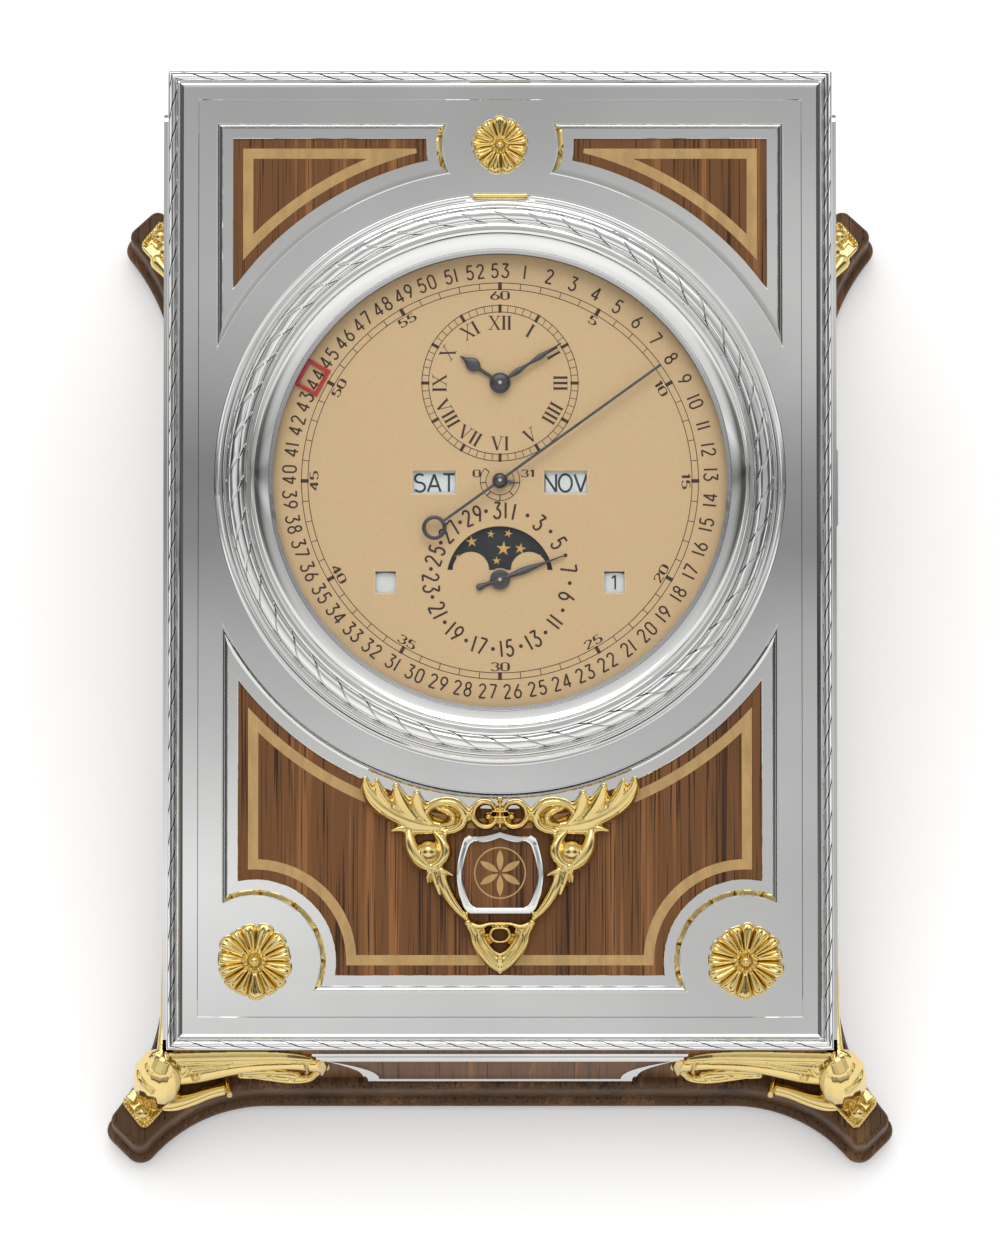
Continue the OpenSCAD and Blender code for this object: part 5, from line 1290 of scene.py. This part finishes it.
def starOutline(x, y, radius, turn):
    points = []
    for i in range(10):
        r = radius if i % 2 == 0 else radius * 0.36
        points.append(turned([(0, r)], turn + 36 * i, x, y)[0])
    return points


def printDiscs():
    d = discs
    low, high = d["top"] - 0.01, d["top"] + d["ink"]
    for names, side, node in ((d["days"], -1, "dayNames"), (d["months"], 1, "monthNames")):
        ink = Shape()
        for k, name in enumerate(names):
            turn = 360 * k / len(names)
            spot = turned([(0, d["nameR"])], turn - 90 * side, side * d["nameX"], d["nameUp"])[0]
            drawText(ink, name, d["nameH"], *spot, turn, "disc", low, high)
        makePiece(node, ink, discPrint, onDial, "day_disc" if side < 0 else "month_disc")
    ink = Shape()
    for k in range(4):  # the years of the leap cycle
        spot = turned([(0, d["leapR"])], 90 * k, d["leapX"], d["leapY"])[0]
        drawText(ink, str(k + 1), d["leapH"], *spot, 90 * k, "disc", low, high)
    makePiece("leapNumbers", ink, discPrint, onDial, "leap_disc")
    night = Shape()
    night.add(*slab(arcPoints(-d["leapX"], d["leapY"], d["nightR"], d["nightR"], 180, 360, 40), low, high))
    makePiece("nightHalf", night, nightPaint, onDial, "day_night_disc")
    gold = Shape()
    for turn in (0, 180):
        for x, y, radius, lean in d["stars"]:
            spot = turned([(x, y)], turn, 0, -dial["dateDown"])[0]
            gold.add(*slab(starOutline(*spot, radius, lean + turn), low, high))
        spot = turned([(d["moonX"], d["moonY"])], turn, 0, -dial["dateDown"])[0]
        gold.add(*slab(circle(*spot, d["moonR"], 60), low, high))
    makePiece("starsAndMoons", gold, starGold, onDial, "moon_disc")


# Red week frame with bevelled edges, drawn over its flat blank
weekFrame = {
    "angle": 298.9, "r": 33.6, "w": 4.66, "low": -1.98, "high": 2.18, "openW": 3.36, "openLow": -1.36,
    "openHigh": 1.4, "base": -1.11, "top": -0.68, "soft": 0.14,
}


def makeWeekFrame():
    f = weekFrame
    rings = []
    edge = f["top"] - f["soft"]
    for t, z in ((0.0, f["base"]), (0.0, edge), (0.35, f["top"]), (0.6, f["top"]), (1.0, edge),
                 (1.0, f["base"])):
        x = f["w"] / 2 * (1 - t) + f["openW"] / 2 * t
        low, high = f["low"] * (1 - t) + f["openLow"] * t, f["high"] * (1 - t) + f["openHigh"] * t
        flat = turned([(px, py + f["r"]) for px, py in rectangle(x, low, high)], f["angle"])
        rings.append([(px, py, z) for px, py in flat])
    shape = Shape()
    shape.add(*loft(rings, around=True))
    makePiece("weekFrame", shape, redEnamel, onDial, "week_ring", sharp=15)


# Hands: softly rounded blades and domed hubs laid over the flat blanks; edges give distance and half width
hands = {
    "hourBlade": {
        "body": "hour_hand", "at": (0, 15.4), "angle": -56, "z": -0.85, "thick": 0.3, "rise": 0.14,
        "hub": 1.65, "dome": 0.1,
        "edge": [(1.0, 0.22), (2.4, 0.27), (3.7, 0.27), (4.15, 0.6), (4.6, 0.95), (5.2, 1.08), (5.8, 0.86),
                 (6.3, 0.45), (6.8, 0.24), (7.52, 0.1)],
    },
    "minuteBlade": {
        "body": "minute_hand", "at": (0, 15.4), "angle": 57, "z": -0.35, "thick": 0.3, "rise": 0.12,
        "hub": 1.5, "dome": 0.45,
        "edge": [(1.0, 0.2), (1.7, 0.22), (2.6, 0.4), (3.4, 0.46), (4.4, 0.3), (5.4, 0.2), (6.5, 0.34),
                 (7.5, 0.45), (8.4, 0.34), (9.6, 0.18), (11.42, 0.09)],
    },
    "secondsNeedle": {
        "body": "seconds_hand", "at": (0, 0), "angle": 54.2, "z": 0.15, "thick": 0.25, "rise": 0.06,
        "hub": 1.12, "dome": 0.5, "edge": [(-10.9, 0.215), (0, 0.215), (20, 0.205), (31.1, 0.2)],
    },
    "reserveBlade": {
        "body": "reserve_hand", "at": (0, 0), "angle": 98, "z": -0.85, "thick": 0.3, "rise": 0.06, "hub": 0,
        "dome": 0, "edge": [(0.9, 0.24), (1.5, 0.26), (2.1, 0.18), (2.62, 0.09)],
    },
    "dateBlade": {
        "body": "date_hand", "at": (0, -15.5), "angle": 69.6, "z": -0.85, "thick": 0.3, "rise": 0.16,
        "hub": 1.57, "dome": 0.1,
        "edge": [(-3.95, 0.25), (-3.7, 0.46), (-3.3, 0.52), (-2.7, 0.36), (-1.6, 0.3), (0, 0.32),
                 (1.8, 0.34), (3.6, 0.5), (4.8, 0.46), (6.6, 0.28), (8.2, 0.15), (10.92, 0.08)],
    },
}
handRing = {"down": 12.7, "outer": 1.93, "inner": 1.32, "rise": 0.12}
handHub = {"dome": [(0.97, 0.3), (0.86, 0.62), (0.68, 0.86), (0.4, 1.0)], "dot": 0.34, "dotUp": 0.16}


def makeHand(name, spec):
    shape = Shape()
    low, high = spec["z"] - 0.02, spec["z"] + spec["thick"]
    rings = []
    for spot in smoothPath(spec["edge"], 4):
        y, w = spot[0], max(spot[1], 0.05)
        ring = [(-w, y, low), (-w, y, high - 0.06)]
        for i in range(7):
            ring.append((-w * 0.86 + 1.72 * w * i / 6, y, high + spec["rise"] * (1 - (1 - i / 3) ** 2)))
        rings.append(ring + [(w, y, high - 0.06), (w, y, low)])
    shape.add(*loft(rings))
    if name == "secondsNeedle":
        r = handRing
        mid, half = (r["outer"] + r["inner"]) / 2, (r["outer"] - r["inner"]) / 2
        profile = arcPoints(mid, high - 0.05, half, r["rise"], 0, 180, 9)
        verts, faces = lathe([(r["outer"], low)] + profile + [(r["inner"], low)], 64)
        shape.add([(x, y - r["down"], z) for x, y, z in verts], faces)
    if spec["hub"]:
        hub, dome = spec["hub"], spec["dome"]
        profile = [(hub, low), (hub, high)] + [(hub * w, high + dome * up) for w, up in handHub["dome"]]
        shape.add(*lathe(profile + [(0.001, high + dome), (0.001, low)], 48))
    place = onDial @ Matrix.Translation((*spec["at"], 0))
    place = place @ Matrix.Rotation(math.radians(-spec["angle"]), 4, "Z")
    makePiece(name, shape, handSteel, place, spec["body"], sharp=25)
    if spec["hub"]:
        pivot = Shape()
        r, top, tip = handHub["dot"], high + max(spec["dome"], spec["rise"]), handHub["dotUp"]
        pivot.add(*lathe([(r, top - 0.2), (r, top + 0.04), (r * 0.7, top + tip), (0.001, top + tip + 0.03),
                          (0.001, top - 0.2)], 24))
        makePiece(name + "Pivot", pivot, plated, place, spec["body"], sharp=25)


makeWindowEdges()
printDiscs()
makeWeekFrame()
for handName, handSpec in hands.items():
    makeHand(handName, handSpec)
print("windows, discs, week frame and hands made")


# Floor, light and camera
stage = {
    "floor": 3.0, "white": 0.97, "lift": 0.15, "eye": (0, -0.3983, 1.0337), "look": (0, 0.3673, -0.9301),
    "lens": 193.86, "sensor": 36, "lampAt": (-0.04, 0.58, 1.2), "lampSize": 0.9, "lampPower": 4,
}


def addFloor():
    mesh = bpy.data.meshes.new("floor")
    size = stage["floor"]
    mesh.from_pydata([(x, y, 0) for x, y in rectangle(size, -size, size)], [], [[0, 1, 2, 3]])
    material, tree, shader = newMaterial("floorPaper", {"Roughness": 0.9, "Specular IOR Level": 0.1})
    tone = placeNoise(tree, 12, 3)
    white = stage["white"]
    paper = addRamp(tree, tone, [(0.3, (white * 0.995,) * 3), (0.7, (white,) * 3)])
    setSocket(tree, shader, "Base Color", paper)
    # the paper glows a little for the eye, in mirrors and through glass, but lights nothing by that
    path = addNode(tree, "ShaderNodeLightPath")
    seen = addMath(tree, "ADD", path.outputs["Is Camera Ray"], path.outputs["Is Glossy Ray"])
    shown = addMath(tree, "ADD", seen, path.outputs["Is Transmission Ray"])
    setSocket(tree, shader, "Emission Strength", addMath(tree, "MULTIPLY", shown, stage["lift"]))
    shader.inputs["Emission Color"].default_value = (1, 1, 1, 1)
    mesh.materials.append(material)
    floor = bpy.data.objects.new("floor", mesh)
    scene.collection.objects.link(floor)


# The sky seen in the silver runs from front to back: soft panels, a darker gap between them, a dim horizon
sky = {
    "soft": 0.89, "horizon": 0.1, "riseFrom": -0.02, "riseTo": 0.34, "sideways": 0.06, "gapAt": 0.4129,
    "flankFrom": 0.28, "flankTo": 0.5, "flankNear": 0.05, "flankFar": 0.15, "flankDark": 0.8,
    "glowFrom": 0.84, "glowTo": 0.96, "glow": 0.85,
    "left": [
        (0.0, 0.5), (0.1, 0.8), (0.2, 1.0), (0.3, 1.05), (0.36, 0.8), (0.3889, 0.74), (0.3917, 0.87),
        (0.3945, 0.93), (0.3973, 0.82), (0.4002, 0.68), (0.403, 0.53), (0.4058, 0.46), (0.4087, 0.37),
        (0.4115, 0.22), (0.4129, 0.1), (0.4143, 0.24), (0.4171, 0.36), (0.4219, 0.45), (0.4256, 0.46),
        (0.4313, 0.41), (0.47, 0.6), (0.56, 1.0), (0.68, 0.9), (0.8, 0.5), (0.92, 0.25), (1.0, 0.2),
    ],
    "right": [
        (0.0, 0.5), (0.1, 0.8), (0.2, 1.0), (0.3, 1.05), (0.36, 0.8), (0.3889, 0.54), (0.3945, 0.45),
        (0.4002, 0.52), (0.4058, 0.48), (0.4087, 0.37), (0.4115, 0.2), (0.4129, 0.08), (0.4141, 0.34),
        (0.4171, 0.52), (0.4228, 0.72), (0.427, 0.53), (0.4313, 0.42), (0.47, 0.6), (0.56, 1.0), (0.68, 0.9),
        (0.8, 0.5), (0.92, 0.25), (1.0, 0.2),
    ],
}


def addSky():
    world = bpy.data.worlds.new("studio")
    world.use_nodes = True
    scene.world = world
    tree = world.node_tree
    tree.nodes.clear()
    coords = addNode(tree, "ShaderNodeTexCoord")
    x, y, z = addNode(tree, "ShaderNodeSeparateXYZ", {0: coords.outputs["Generated"]}).outputs
    spread = mapRange(tree, addMath(tree, "ARCTAN2", y, z), -math.pi / 2, math.pi / 2, 0, 1)
    stops = [[(p, (v, v, v)) for p, v in sky[half]] for half in ("left", "right")]
    left, right = (addRamp(tree, spread, half) for half in stops)
    bands = mixColours(tree, mapRange(tree, x, -sky["sideways"], sky["sideways"], 0, 1), left, right)
    rise = mapRange(tree, z, sky["riseFrom"], sky["riseTo"], sky["horizon"], 1, "SMOOTHSTEP")
    # steep flanks see a broad dark patch round the gap, and bright panels low down at both sides
    side = addMath(tree, "ABSOLUTE", x)
    flank = mapRange(tree, side, sky["flankFrom"], sky["flankTo"], 0, sky["flankDark"], "SMOOTHSTEP")
    apart = addMath(tree, "ABSOLUTE", addMath(tree, "SUBTRACT", spread, sky["gapAt"]))
    near = mapRange(tree, apart, sky["flankNear"], sky["flankFar"], 1, 0, "SMOOTHSTEP")
    unshaded = addMath(tree, "SUBTRACT", 1.0, addMath(tree, "MULTIPLY", flank, near))
    glow = mapRange(tree, side, sky["glowFrom"], sky["glowTo"], 0, sky["glow"], "SMOOTHSTEP")
    level = addMath(tree, "MAXIMUM", addMath(tree, "MULTIPLY", rise, unshaded), glow)
    shaded = mixColours(tree, 1.0, bands, level, "MULTIPLY")
    path = addNode(tree, "ShaderNodeLightPath")
    lit = mixColours(tree, path.outputs["Is Glossy Ray"], (sky["soft"],) * 3 + (1,), shaded)
    seen = mixColours(tree, path.outputs["Is Camera Ray"], lit, (1, 1, 1, 1))
    back = addNode(tree, "ShaderNodeBackground", {"Color": seen})
    addNode(tree, "ShaderNodeOutputWorld", {"Surface": back.outputs[0]})


def aim(name, data, place, look):
    thing = bpy.data.objects.new(name, data)
    thing.location = place
    thing.rotation_euler = Vector(look).to_track_quat("-Z", "Y").to_euler()
    scene.collection.objects.link(thing)
    return thing


def addLamp():
    data = bpy.data.lights.new("keyPanel", "AREA")
    data.size = stage["lampSize"]
    data.energy = stage["lampPower"]
    aim("keyPanel", data, stage["lampAt"], -Vector(stage["lampAt"]))


def addCamera():
    data = bpy.data.cameras.new("camera")
    data.lens = stage["lens"]
    data.sensor_width = stage["sensor"]
    data.clip_end = 20
    scene.camera = aim("camera", data, stage["eye"], stage["look"])


addFloor()
addSky()
addLamp()
addCamera()
scene.view_settings.view_transform = "Standard"
print("stage set")
